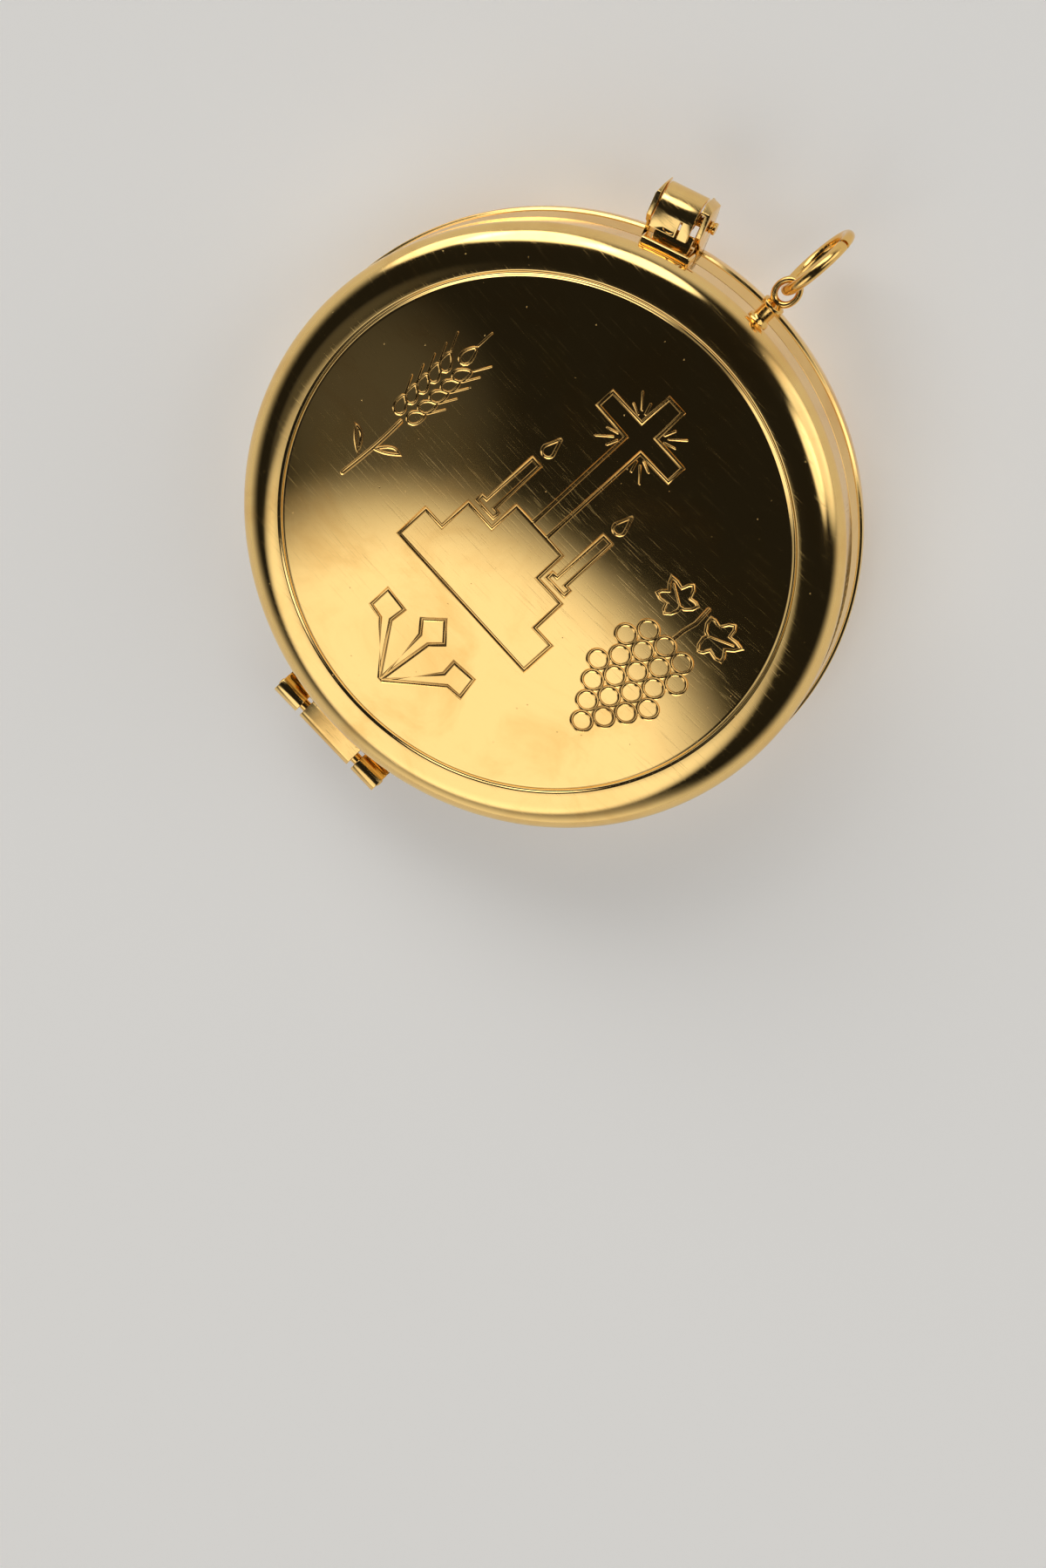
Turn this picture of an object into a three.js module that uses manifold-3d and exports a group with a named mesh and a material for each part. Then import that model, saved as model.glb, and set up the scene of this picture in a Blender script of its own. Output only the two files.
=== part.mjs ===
import * as THREE from 'three';
import { mergeVertices } from 'three/addons/utils/BufferGeometryUtils.js';
import Module from 'manifold-3d';

// Small round hinged case for altar breads, carried on a cord or a chain.
// It lies shut on its flat bottom: +Z up, the carrying ring on +Y, the hinge on -Y.
// All sizes are in millimetres. Heights are measured from the flat bottom.

// Case
const OUTER_R = 27.0;
const BELT_STEP = 0.25;
const WALL = 0.8;
const SEAM_Z = 7.1;
const SEAM_GAP = 0.1;
const ROUND_STEPS = 72;

// Base shell
const BASE_FLAT_R = 23.0;
const BASE_LINE_Z = 4.1;
const LINE_LAND = 0.12;

// Lid shell
const LID_LINE_Z = 9.95;
const GROOVE_R = 23.0;
const GROOVE_Z = 12.3;
const GROOVE_WIDTH = 0.6;
const GROOVE_DEPTH = 0.18;
const DOME_RISE = 2.3;

// Locating ring inside the base
const RIM_WALL = 0.6;
const RIM_RISE = 1.0;
const RIM_SKIRT = 2.4;
const RIM_CLEAR = 0.3;
const RIM_LEAD = 0.2;

// Soldered seats on the belt
const SEAT_GAP = 0.1;

// Hinge
const HINGE_OUT = 2.3;
const KNUCKLE_R = 1.0;
const LEAF_SHEET = 0.45;
const LEAF_BEND_R = 0.7;
const HINGE_PIN_R = 0.5;
const HINGE_PIN_CLEAR = 0.06;
const LID_KNUCKLE_LENGTH = 6.0;
const BASE_KNUCKLE_LENGTH = 2.7;
const KNUCKLE_GAP = 0.5;
const LEAF_LINE_CLEAR = 0.1;
const LEAF_CORNER = 0.5;
const HINGE_PIN_PROUD = 0.12;

// Clasp station, turned from +X, with its pivot measured from the belt and from the seam
const CLASP_ANGLE_DEG = 111.0;
const PIVOT_OUT = 3.3;
const PIVOT_DROP = 0.25;

// Clasp lever: a sheet rolled over the pivot, with a lip above and a thumb tail below
const LEVER_LEFT = 2.2;
const LEVER_RIGHT = 1.3;
const LEVER_SHEET = 0.5;
const LEVER_EDGE = 0.1;
const ROLL_R = 2.15;
const ROLL_END_DEG = -45.0;
const LIP_REACH = 1.65;
const HOOK_DROP = 0.3;
const HOOK_WIDTH = 0.3;
const TAIL_DROP = 2.65;
const TAIL_TUCK = 0.4;
const WEB_SHEET = 0.45;
const WEB_ARC_DEG = 122.0;
const LIP_SLIT_WIDTH = 0.22;
const LIP_SLIT_AT = -0.3;
const LIP_SLIT_DEPTH = 1.55;
const LIP_DENT_AT = 0.5;
const LIP_DENT_IN = 0.45;
const LIP_DENT_REACH = 0.3;
const LIP_DENT_HALF = 0.52;
const LIP_DENT_DEPTH = 0.14;

// Clasp bracket and pin
const CHEEK_SHEET = 0.45;
const CHEEK_LEFT_CLEAR = 0.15;
const CHEEK_RIGHT_CLEAR = 0.6;
const CHEEK_OVER = 0.1;
const CHEEK_CHAMFER = 0.75;
const LEFT_SLANT_LENGTH = 1.0;
const LEFT_SLANT_INSET = 0.32;
const RIGHT_SLANT_LENGTH = 0.45;
const RIGHT_SLANT_INSET = 0.75;
const PAD_SHEET = 0.38;
const PAD_OUT = 1.25;
const BRACKET_SHEET = 0.5;
const BRACKET_LINE_CLEAR = 0.08;
const BRACKET_SEAM_CLEAR = 0.2;
const CLASP_PIN_R = 0.45;
const CLASP_PIN_CLEAR = 0.06;
const PIN_END_PROUD = 0.06;
const PIN_HEAD_R = 0.56;
const PIN_HEAD_LENGTH = 0.55;
const PIN_HEAD_GAP = 0.05;
const PIN_HEAD_ROUND = 0.14;

// Clasp spring
const SPRING_WIRE_R = 0.175;
const SPRING_COIL_R = 0.8;
const SPRING_PITCH = 0.87;
const SPRING_TURNS = 2.5;
const SPRING_END_CLEAR = 0.13;
const SPRING_ARM = 0.8;
const SPRING_STEPS_PER_TURN = 8;
const SPRING_SIDES = 5;

// Strike plate on the lid
const STRIKE_WIDTH = 4.8;
const STRIKE_OUT = 0.85;
const STRIKE_TOP_CLEAR = 0.1;
const STRIKE_SEAM_CLEAR = 0.4;
const NOSE_WIDTH = 3.4;
const NOSE_HEIGHT = 0.45;
const NOSE_BITE = 0.42;
const NOSE_CHAMFER = 0.18;
const STRIKE_SLOT_WIDTH = 1.7;
const STRIKE_SLOT_HEIGHT = 0.45;
const STRIKE_SLOT_DEPTH = 0.3;
const STRIKE_SLOT_AT = 0.25;
const STRIKE_SLOT_TOP = 0.4;
const STRIKE_HOLE_R = 0.22;
const STRIKE_HOLE_AT = -0.85;

// Ring eyelet on the lid
const EYE_FOOT_R = 1.0;
const EYE_FOOT_LENGTH = 0.45;
const EYE_STEM_R = 0.75;
const EYE_COLLAR_R = 1.05;
const EYE_COLLAR_LENGTH = 0.5;
const EYE_STEM_OUT = 2.45;
const EYE_MEAN_R = 1.15;
const EYE_WIRE_R = 0.32;
const EYE_STRETCH = 1.1;
const EYE_SQUEEZE = 0.85;
const EYE_BELOW_LINE = 1.3;

// Carrying ring
const RING_MEAN_R = 3.5;
const RING_WIRE_R = 0.5;
const RING_SIDES = 14;
const RING_LEAN_DEG = 38.0;
const RING_TWIST_DEG = 8.0;
const RING_PLAY = 0.1;
const RING_SPLIT = 0.25;
const RING_SPLIT_DEG = 62.0;

// Derived places that several pieces share
const BELT_R = OUTER_R - BELT_STEP;
const INNER_R = BELT_R - WALL;
const BELT_TOP_Z = LID_LINE_Z - LINE_LAND - BELT_STEP / 2;
const BELT_LOW_Z = BASE_LINE_Z + LINE_LAND + BELT_STEP / 2;
const RIM_OUTER_R = INNER_R - RIM_CLEAR;
const HINGE_RHO = BELT_R + HINGE_OUT;
const HINGE_TURN = -Math.PI / 2;
const EYE_TURN = Math.PI / 2;
const CLASP_TURN = THREE.MathUtils.degToRad(CLASP_ANGLE_DEG);
const PIVOT_RHO = BELT_R + PIVOT_OUT;
const PIVOT_Z = SEAM_Z - PIVOT_DROP;
const LIP_RHO = PIVOT_RHO - LIP_REACH;
const LIP_TOP_Z = PIVOT_Z + ROLL_R;
const LIP_UNDER_Z = LIP_TOP_Z - LEVER_SHEET;
const CHEEK_LEFT = LEVER_LEFT + CHEEK_LEFT_CLEAR;
const CHEEK_RIGHT = LEVER_RIGHT + CHEEK_RIGHT_CLEAR;
const CHEEK_FAR = PIVOT_RHO + ROLL_R + CHEEK_OVER;
const EYE_END_WIRE_R = EYE_WIRE_R * EYE_STRETCH;
const EYE_HALF_LENGTH = EYE_MEAN_R * EYE_STRETCH;
const EYE_Z = LID_LINE_Z - EYE_BELOW_LINE;
const EYE_RHO = BELT_R + EYE_STEM_OUT + EYE_HALF_LENGTH;
const EYE_BAR_RHO = EYE_RHO + EYE_HALF_LENGTH;

const wasm = await Module();
wasm.setup();

// Solids and cuts

function toSolid(geometry) {
  const bare = geometry.clone();
  bare.deleteAttribute('normal');
  bare.deleteAttribute('uv');
  const merged = mergeVertices(bare, 1e-4);
  const vertProperties = new Float32Array(merged.attributes.position.array);
  const triVerts = new Uint32Array(merged.index.array);
  return new wasm.Manifold(new wasm.Mesh({ numProp: 3, vertProperties, triVerts }));
}

function toGeometry(solid) {
  const mesh = solid.getMesh();
  const geometry = new THREE.BufferGeometry();
  const points = new THREE.Float32BufferAttribute(mesh.vertProperties, 3);
  geometry.setAttribute('position', points);
  geometry.setIndex(Array.from(mesh.triVerts));
  geometry.computeVertexNormals();
  return geometry;
}

function joined(parts) {
  return parts.map(toSolid).reduce((sum, part) => sum.add(part));
}

function cut(solid, tools) {
  return tools.map(toSolid).reduce((rest, tool) => rest.subtract(tool), solid);
}

// Arc of points about a centre, from one angle to another in degrees
function arc(cx, cy, rx, ry, from, to, steps) {
  const points = [];
  for (let i = 0; i <= steps; i += 1) {
    const angle = THREE.MathUtils.degToRad(from + ((to - from) * i) / steps);
    points.push(new THREE.Vector2(cx + rx * Math.cos(angle), cy + ry * Math.sin(angle)));
  }
  return points;
}

function v(x, y) {
  return new THREE.Vector2(x, y);
}

// A profile of (radius, height) turned about the upright axis
function turned(profile, steps) {
  const geometry = new THREE.LatheGeometry(profile, steps);
  geometry.rotateX(Math.PI / 2);
  return geometry;
}

// A section of (outward, height) drawn along the tangent between two stations
function drawn(points, from, to) {
  const options = { depth: to - from, bevelEnabled: false, curveSegments: 12 };
  const geometry = new THREE.ExtrudeGeometry(new THREE.Shape(points), options);
  geometry.rotateX(Math.PI / 2);
  geometry.translate(0, to, 0);
  return geometry;
}

// A plan of (outward, tangent) raised between two heights
function raised(points, from, to) {
  const options = { depth: to - from, bevelEnabled: false, curveSegments: 12 };
  const geometry = new THREE.ExtrudeGeometry(new THREE.Shape(points), options);
  geometry.translate(0, 0, from);
  return geometry;
}

// A round bar along the tangent, at (outward, height), with a lathed profile
function tangentBar(profile, rho, z, steps) {
  const geometry = new THREE.LatheGeometry(profile, steps);
  geometry.translate(rho, 0, z);
  return geometry;
}

// A round bar pointing outward, at (tangent, height), with a lathed profile
function outwardBar(profile, t, z, steps) {
  const geometry = new THREE.LatheGeometry(profile, steps);
  geometry.rotateZ(-Math.PI / 2);
  geometry.translate(0, t, z);
  return geometry;
}

// A tube through points, with straight runs kept by parallel frames
function tube(points, radius, sides) {
  const positions = [];
  const index = [];
  let normal = null;
  points.forEach((point, i) => {
    const before = points[Math.max(i - 1, 0)];
    const after = points[Math.min(i + 1, points.length - 1)];
    const along = after.clone().sub(before).normalize();
    if (normal === null) {
      const side = Math.abs(along.z) < 0.9 ? new THREE.Vector3(0, 0, 1) : new THREE.Vector3(1, 0, 0);
      normal = side;
    }
    normal = normal.clone().addScaledVector(along, -normal.dot(along)).normalize();
    const binormal = along.clone().cross(normal);
    for (let k = 0; k < sides; k += 1) {
      const angle = (2 * Math.PI * k) / sides;
      const ring = point.clone();
      ring.addScaledVector(normal, radius * Math.cos(angle));
      ring.addScaledVector(binormal, radius * Math.sin(angle));
      positions.push(ring.x, ring.y, ring.z);
    }
  });
  for (let i = 0; i < points.length - 1; i += 1) {
    for (let k = 0; k < sides; k += 1) {
      const a = i * sides + k;
      const b = i * sides + ((k + 1) % sides);
      index.push(a, b, a + sides, b, b + sides, a + sides);
    }
  }
  const last = (points.length - 1) * sides;
  for (let k = 1; k < sides - 1; k += 1) {
    index.push(0, k + 1, k);
    index.push(last, last + k, last + k + 1);
  }
  const geometry = new THREE.BufferGeometry();
  geometry.setAttribute('position', new THREE.Float32BufferAttribute(positions, 3));
  geometry.setIndex(index);
  geometry.computeVertexNormals();
  return geometry;
}

// The belt with its seat gap, to cut the curved back of a soldered piece
function beltCutter() {
  const r = BELT_R + SEAT_GAP;
  const profile = [v(0, -5), v(r, -5), v(r, 25), v(0, 25)];
  return turned(profile, 144);
}

// Materials as the photograph shows them

function gold(color, roughness) {
  return new THREE.MeshStandardMaterial({ color, roughness, metalness: 1.0 });
}

const POLISHED = gold('#e3c071', 0.1);
const POLISHED_BASE = gold('#dcb768', 0.12);
const SATIN = gold('#cfa75a', 0.28);
const WIRE = gold('#e0bb6c', 0.16);
const STEEL = gold('#b9a26a', 0.3);

function piece(name, geometry, material) {
  const mesh = new THREE.Mesh(geometry, material.clone());
  mesh.name = name;
  return mesh;
}

// Shells

// The lid's outer dome height at a radius
function domeZ(radius, lift) {
  const sphere = (GROOVE_R * GROOVE_R + DOME_RISE * DOME_RISE) / (2 * DOME_RISE);
  const drop = sphere - Math.sqrt(sphere * sphere - radius * radius);
  return GROOVE_Z + DOME_RISE - drop + lift;
}

function domePoints(fromR, toR, lift, steps) {
  const points = [];
  for (let i = 0; i <= steps; i += 1) {
    const r = fromR + ((toR - fromR) * i) / steps;
    points.push(v(r, domeZ(r, lift)));
  }
  return points;
}

function lidShell() {
  const inner = GROOVE_R - GROOVE_WIDTH / 2;
  const outer = GROOVE_R + GROOVE_WIDTH / 2;
  const shoulder = domeZ(outer, 0);
  const low = SEAM_Z + SEAM_GAP / 2;
  const under = LID_LINE_Z - LINE_LAND;
  const dome = domePoints(0, inner, 0, 9);
  const roll = arc(outer, LID_LINE_Z, OUTER_R - outer, shoulder - LID_LINE_Z, 90, 0, 10);
  const roof = arc(outer - WALL, under, INNER_R - outer + WALL, shoulder - WALL - under, 0, 90, 6);
  const ceiling = domePoints(roof.at(-1).x, 0, -WALL, 6).slice(1);
  const profile = [
    ...dome,
    v(GROOVE_R, domeZ(GROOVE_R, -GROOVE_DEPTH)),
    ...roll,
    v(OUTER_R, under),
    v(BELT_R, BELT_TOP_Z),
    v(BELT_R, low + 0.1),
    v(BELT_R - 0.1, low),
    v(INNER_R, low),
    ...roof,
    ...ceiling,
  ];
  return turned(profile.reverse(), ROUND_STEPS);
}

function baseShell() {
  const high = SEAM_Z - SEAM_GAP / 2;
  const over = BASE_LINE_Z + LINE_LAND;
  const corner = arc(BASE_FLAT_R, BASE_LINE_Z, OUTER_R - BASE_FLAT_R, BASE_LINE_Z, -90, 0, 10);
  const cove = arc(BASE_FLAT_R, over, INNER_R - BASE_FLAT_R, over - WALL, 0, -90, 7);
  const profile = [
    v(0, 0),
    ...corner,
    v(OUTER_R, over),
    v(BELT_R, BELT_LOW_Z),
    v(BELT_R, high - 0.1),
    v(BELT_R - 0.1, high),
    v(INNER_R, high),
    ...cove,
    v(0, WALL),
  ];
  return turned(profile, ROUND_STEPS);
}

function rimRing() {
  const inner = RIM_OUTER_R - RIM_WALL;
  const top = SEAM_Z + RIM_RISE;
  const bottom = SEAM_Z - RIM_SKIRT;
  const profile = [
    v(inner, bottom),
    v(RIM_OUTER_R, bottom),
    v(RIM_OUTER_R, top - RIM_LEAD),
    v(RIM_OUTER_R - RIM_LEAD, top),
    v(inner, top),
    v(inner, bottom),
  ];
  return turned(profile, ROUND_STEPS);
}

// Hinge leaves with rolled knuckles

// Height of a leaf's straight free edge, just short of the line it is soldered up to
function leafEdgeZ(side) {
  return side > 0 ? BELT_TOP_Z - LEAF_LINE_CLEAR : BELT_LOW_Z + LEAF_LINE_CLEAR;
}

// Section of one leaf: a plate on the belt and a shelf that runs onto the knuckle
function leafPlate(side, halfWidth) {
  const near = BELT_R - 1.0;
  const face = BELT_R + SEAT_GAP + LEAF_SHEET;
  const level = SEAM_Z + side * (KNUCKLE_R - LEAF_SHEET);
  const far = leafEdgeZ(side);
  const low = Math.min(level, far);
  const high = Math.max(level, far);
  const outline = [v(near, low), v(face, low), v(face, high), v(near, high)];
  return drawn(outline, -halfWidth, halfWidth);
}

// One knuckle, with the bend of the sheet that carries it out from the plate
function leafKnuckle(side, from, to) {
  const top = SEAM_Z + side * KNUCKLE_R;
  const under = SEAM_Z + side * (KNUCKLE_R - LEAF_SHEET);
  const near = BELT_R + SEAT_GAP;
  const bendRho = near + LEAF_SHEET + LEAF_BEND_R;
  const bendZ = top + side * LEAF_BEND_R;
  const bend = arc(bendRho, bendZ, LEAF_BEND_R, side * LEAF_BEND_R, 180, 270, 6);
  const shelf = [v(near, under), v(HINGE_RHO, under), v(HINGE_RHO, top), ...bend.reverse(), v(near, bendZ)];
  const barrel = [v(0, from), v(KNUCKLE_R, from), v(KNUCKLE_R, to), v(0, to)];
  return [drawn(shelf, from, to), tangentBar(barrel, HINGE_RHO, SEAM_Z, 24)];
}

function pinBore(halfLength) {
  const r = HINGE_PIN_R + HINGE_PIN_CLEAR;
  const profile = [v(0, -halfLength), v(r, -halfLength), v(r, halfLength), v(0, halfLength)];
  return tangentBar(profile, HINGE_RHO, SEAM_Z, 24);
}

// The free corners of a leaf plate, cut at a slant
function leafCorner(side, halfWidth, sign) {
  const z = leafEdgeZ(side);
  const t = sign * halfWidth;
  const c = LEAF_CORNER;
  const outline = [
    v(t + sign * 0.1, z + side * 0.1),
    v(t + sign * 0.1, z - side * c),
    v(t - sign * c, z + side * 0.1),
  ];
  const shape = new THREE.Shape(outline);
  const geometry = new THREE.ExtrudeGeometry(shape, { depth: 4, bevelEnabled: false });
  geometry.rotateX(Math.PI / 2);
  geometry.rotateZ(Math.PI / 2);
  geometry.translate(BELT_R - 2, 0, 0);
  return geometry;
}

function hingeLeaf(side, spans, halfWidth) {
  const parts = [leafPlate(side, halfWidth)];
  spans.forEach(([from, to]) => parts.push(...leafKnuckle(side, from, to)));
  const tools = [pinBore(halfWidth + 1), beltCutter()];
  [-1, 1].forEach((sign) => tools.push(leafCorner(side, halfWidth, sign)));
  return toGeometry(cut(joined(parts), tools));
}

function lidHingeLeaf() {
  const half = LID_KNUCKLE_LENGTH / 2;
  return hingeLeaf(1, [[-half, half]], half);
}

function baseHingeLeaf() {
  const inner = LID_KNUCKLE_LENGTH / 2 + KNUCKLE_GAP;
  const outer = inner + BASE_KNUCKLE_LENGTH;
  const spans = [
    [-outer, -inner],
    [inner, outer],
  ];
  return hingeLeaf(-1, spans, outer);
}

function hingePin() {
  const half = LID_KNUCKLE_LENGTH / 2 + KNUCKLE_GAP + BASE_KNUCKLE_LENGTH + HINGE_PIN_PROUD;
  const r = HINGE_PIN_R;
  const c = HINGE_PIN_PROUD;
  const end = [v(r, half - c), v(r - c, half), v(0, half)];
  const start = end.map((point) => v(point.x, -point.y)).reverse();
  const profile = [...start, ...end];
  return tangentBar(profile, HINGE_RHO, SEAM_Z, 24);
}

// Clasp

// Section of the lever's sheet: lip with hook, roll over the pivot and thumb tail
function leverSection() {
  const r = ROLL_R - LEVER_SHEET;
  const e = LEVER_EDGE;
  const tailZ = PIVOT_Z - TAIL_DROP;
  const outerEnd = arc(PIVOT_RHO, PIVOT_Z, ROLL_R, ROLL_R, 90, ROLL_END_DEG, 16);
  const innerEnd = arc(PIVOT_RHO, PIVOT_Z, r, r, ROLL_END_DEG, 90, 14);
  const tailRho = outerEnd.at(-1).x - TAIL_TUCK;
  return [
    v(LIP_RHO, LIP_UNDER_Z - HOOK_DROP),
    v(LIP_RHO, LIP_TOP_Z - e),
    v(LIP_RHO + e, LIP_TOP_Z),
    ...outerEnd,
    v(tailRho, tailZ + e),
    v(tailRho - e, tailZ),
    v(tailRho - LEVER_SHEET + e, tailZ),
    v(tailRho - LEVER_SHEET, tailZ + e),
    ...innerEnd,
    v(LIP_RHO + HOOK_WIDTH + HOOK_DROP, LIP_UNDER_Z),
    v(LIP_RHO + HOOK_WIDTH, LIP_UNDER_Z - HOOK_DROP),
  ];
}

// A web that joins the roll to the pivot, cut flat on the side of the case
function leverWeb(from, to) {
  const r = ROLL_R - LEVER_SHEET / 2;
  return drawn(arc(PIVOT_RHO, PIVOT_Z, r, r, -WEB_ARC_DEG, WEB_ARC_DEG, 20), from, to);
}

function springStart() {
  return -CHEEK_RIGHT + SPRING_END_CLEAR + SPRING_WIRE_R;
}

function springEnd() {
  return springStart() + SPRING_TURNS * SPRING_PITCH;
}

// Hole for the clasp's pin, right through both cheeks
function claspBore() {
  const r = CLASP_PIN_R + CLASP_PIN_CLEAR;
  const half = CHEEK_LEFT + CHEEK_SHEET + 1;
  return tangentBar([v(0, -half), v(r, -half), v(r, half), v(0, half)], PIVOT_RHO, PIVOT_Z, 24);
}

// Plan of the slit in the lip
function lipSlit() {
  const half = LIP_SLIT_WIDTH / 2;
  const near = LIP_RHO - 1;
  const far = LIP_RHO + LIP_SLIT_DEPTH;
  const low = LIP_SLIT_AT - half;
  const high = LIP_SLIT_AT + half;
  return [v(near, low), v(far, low), v(far, high), v(near, high)];
}

function claspLever() {
  const webFrom = springEnd() + SPRING_WIRE_R + SPRING_END_CLEAR;
  const parts = [
    drawn(leverSection(), -LEVER_RIGHT, LEVER_LEFT),
    leverWeb(LEVER_LEFT - WEB_SHEET, LEVER_LEFT),
    leverWeb(webFrom, webFrom + WEB_SHEET),
  ];
  const dentRho = LIP_RHO + LIP_DENT_IN;
  const dent = arc(dentRho, LIP_DENT_AT, LIP_DENT_REACH, LIP_DENT_HALF, 90, 270, 12);
  const tools = [
    claspBore(),
    raised(lipSlit(), LIP_UNDER_Z - 1, LIP_TOP_Z + 1),
    raised(dent, LIP_TOP_Z - LIP_DENT_DEPTH, LIP_TOP_Z + 1),
  ];
  return toGeometry(cut(joined(parts), tools));
}

// Outline of one cheek, with every free corner cut at a slant
function cheekSection() {
  const back = BELT_R + SEAT_GAP + 0.2;
  const low = BELT_LOW_Z + BRACKET_LINE_CLEAR;
  const shelf = SEAM_Z - BRACKET_SEAM_CLEAR;
  const c = CHEEK_CHAMFER;
  return [
    v(back, low),
    v(PIVOT_RHO - ROLL_R, low),
    v(PIVOT_RHO + c, low + c),
    v(CHEEK_FAR, PIVOT_Z - c),
    v(CHEEK_FAR, LIP_TOP_Z - c),
    v(CHEEK_FAR - c, LIP_TOP_Z),
    v(PIVOT_RHO - c, LIP_TOP_Z),
    v(PIVOT_RHO - 2 * c, LIP_TOP_Z - c),
    v(PIVOT_RHO - 2.6 * c, shelf + c / 2),
    v(PIVOT_RHO - 3.2 * c, shelf),
    v(back, shelf),
  ];
}

// The pad that thickens the far end of the right cheek
function padSection() {
  const c = CHEEK_CHAMFER;
  const near = PIVOT_RHO + PAD_OUT;
  return [
    v(near, PIVOT_Z - c),
    v(CHEEK_FAR, PIVOT_Z - c),
    v(CHEEK_FAR, LIP_TOP_Z - c),
    v(CHEEK_FAR - c, LIP_TOP_Z),
    v(near, LIP_TOP_Z),
  ];
}

// Cuts the far end of a cheek at a slant in plan
function cheekSlant(side, outer, length, inset) {
  const plan = [
    v(CHEEK_FAR - length, side * outer),
    v(CHEEK_FAR, side * (outer - inset)),
    v(CHEEK_FAR + 1, side * (outer - inset)),
    v(CHEEK_FAR + 1, side * (outer + 1)),
    v(CHEEK_FAR - length, side * (outer + 1)),
  ];
  return raised(plan, 0, LIP_TOP_Z + 1);
}

function claspBracket() {
  const low = BELT_LOW_Z + BRACKET_LINE_CLEAR;
  const high = SEAM_Z - BRACKET_SEAM_CLEAR;
  const face = BELT_R + SEAT_GAP + BRACKET_SHEET;
  const back = [v(BELT_R - 1, low), v(face, low), v(face, high), v(BELT_R - 1, high)];
  const left = CHEEK_LEFT + CHEEK_SHEET;
  const right = CHEEK_RIGHT + CHEEK_SHEET;
  const parts = [
    drawn(back, -right, left),
    drawn(cheekSection(), -right, -CHEEK_RIGHT),
    drawn(cheekSection(), CHEEK_LEFT, left),
    drawn(padSection(), -right, PAD_SHEET - CHEEK_RIGHT),
  ];
  const tools = [
    claspBore(),
    beltCutter(),
    cheekSlant(1, left, LEFT_SLANT_LENGTH, LEFT_SLANT_INSET),
    cheekSlant(-1, right, RIGHT_SLANT_LENGTH, RIGHT_SLANT_INSET),
  ];
  return toGeometry(cut(joined(parts), tools));
}

// Riveted flush on the left, with a head that stands out on the right
function claspPin() {
  const seat = -(CHEEK_RIGHT + CHEEK_SHEET + PIN_HEAD_GAP);
  const headEnd = seat - PIN_HEAD_LENGTH;
  const end = CHEEK_LEFT + CHEEK_SHEET + PIN_END_PROUD;
  const profile = [
    v(0, headEnd),
    v(PIN_HEAD_R - PIN_HEAD_ROUND, headEnd),
    v(PIN_HEAD_R, headEnd + PIN_HEAD_ROUND),
    v(PIN_HEAD_R, seat),
    v(CLASP_PIN_R, seat),
    v(CLASP_PIN_R, end - PIN_END_PROUD),
    v(CLASP_PIN_R - PIN_END_PROUD, end),
    v(0, end),
  ];
  return tangentBar(profile, PIVOT_RHO, PIVOT_Z, 20);
}

// Centre line of the spring: back arm, curls about the pivot, arm under the lip
function springLine() {
  const points = [];
  const startT = springStart();
  const endT = springEnd();
  const low = PIVOT_Z - SPRING_COIL_R;
  const high = PIVOT_Z + SPRING_COIL_R;
  const seat = BELT_R + SEAT_GAP + BRACKET_SHEET + SPRING_WIRE_R;
  points.push(new THREE.Vector3(seat, startT, low));
  points.push(new THREE.Vector3((seat + PIVOT_RHO) / 2, startT, low));
  const steps = SPRING_TURNS * SPRING_STEPS_PER_TURN;
  for (let i = 0; i <= steps; i += 1) {
    const angle = -Math.PI / 2 + (2 * Math.PI * SPRING_TURNS * i) / steps;
    const rho = PIVOT_RHO + SPRING_COIL_R * Math.cos(angle);
    const z = PIVOT_Z + SPRING_COIL_R * Math.sin(angle);
    points.push(new THREE.Vector3(rho, startT + ((endT - startT) * i) / steps, z));
  }
  const tip = LIP_UNDER_Z - SPRING_END_CLEAR - SPRING_WIRE_R;
  points.push(new THREE.Vector3(PIVOT_RHO - SPRING_ARM / 2, endT, high));
  points.push(new THREE.Vector3(PIVOT_RHO - SPRING_ARM, endT, tip));
  return points;
}

// Least free gap between parts of the wire that are more than half a turn apart
function leastGap(points, skip) {
  const fine = [];
  for (let i = 0; i < points.length - 1; i += 1) {
    for (let k = 0; k < 6; k += 1) {
      fine.push(points[i].clone().lerp(points[i + 1], k / 6));
    }
  }
  let least = Infinity;
  for (let i = 0; i < fine.length; i += 1) {
    for (let j = i + skip * 6; j < fine.length; j += 1) {
      least = Math.min(least, fine[i].distanceTo(fine[j]));
    }
  }
  return least - 2 * SPRING_WIRE_R;
}

function claspSpring() {
  const points = springLine();
  const gap = leastGap(points, SPRING_STEPS_PER_TURN / 2);
  console.log(`least gap between the spring's curls: ${gap.toFixed(2)} mm`);
  return tube(points, SPRING_WIRE_R, SPRING_SIDES);
}

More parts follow.
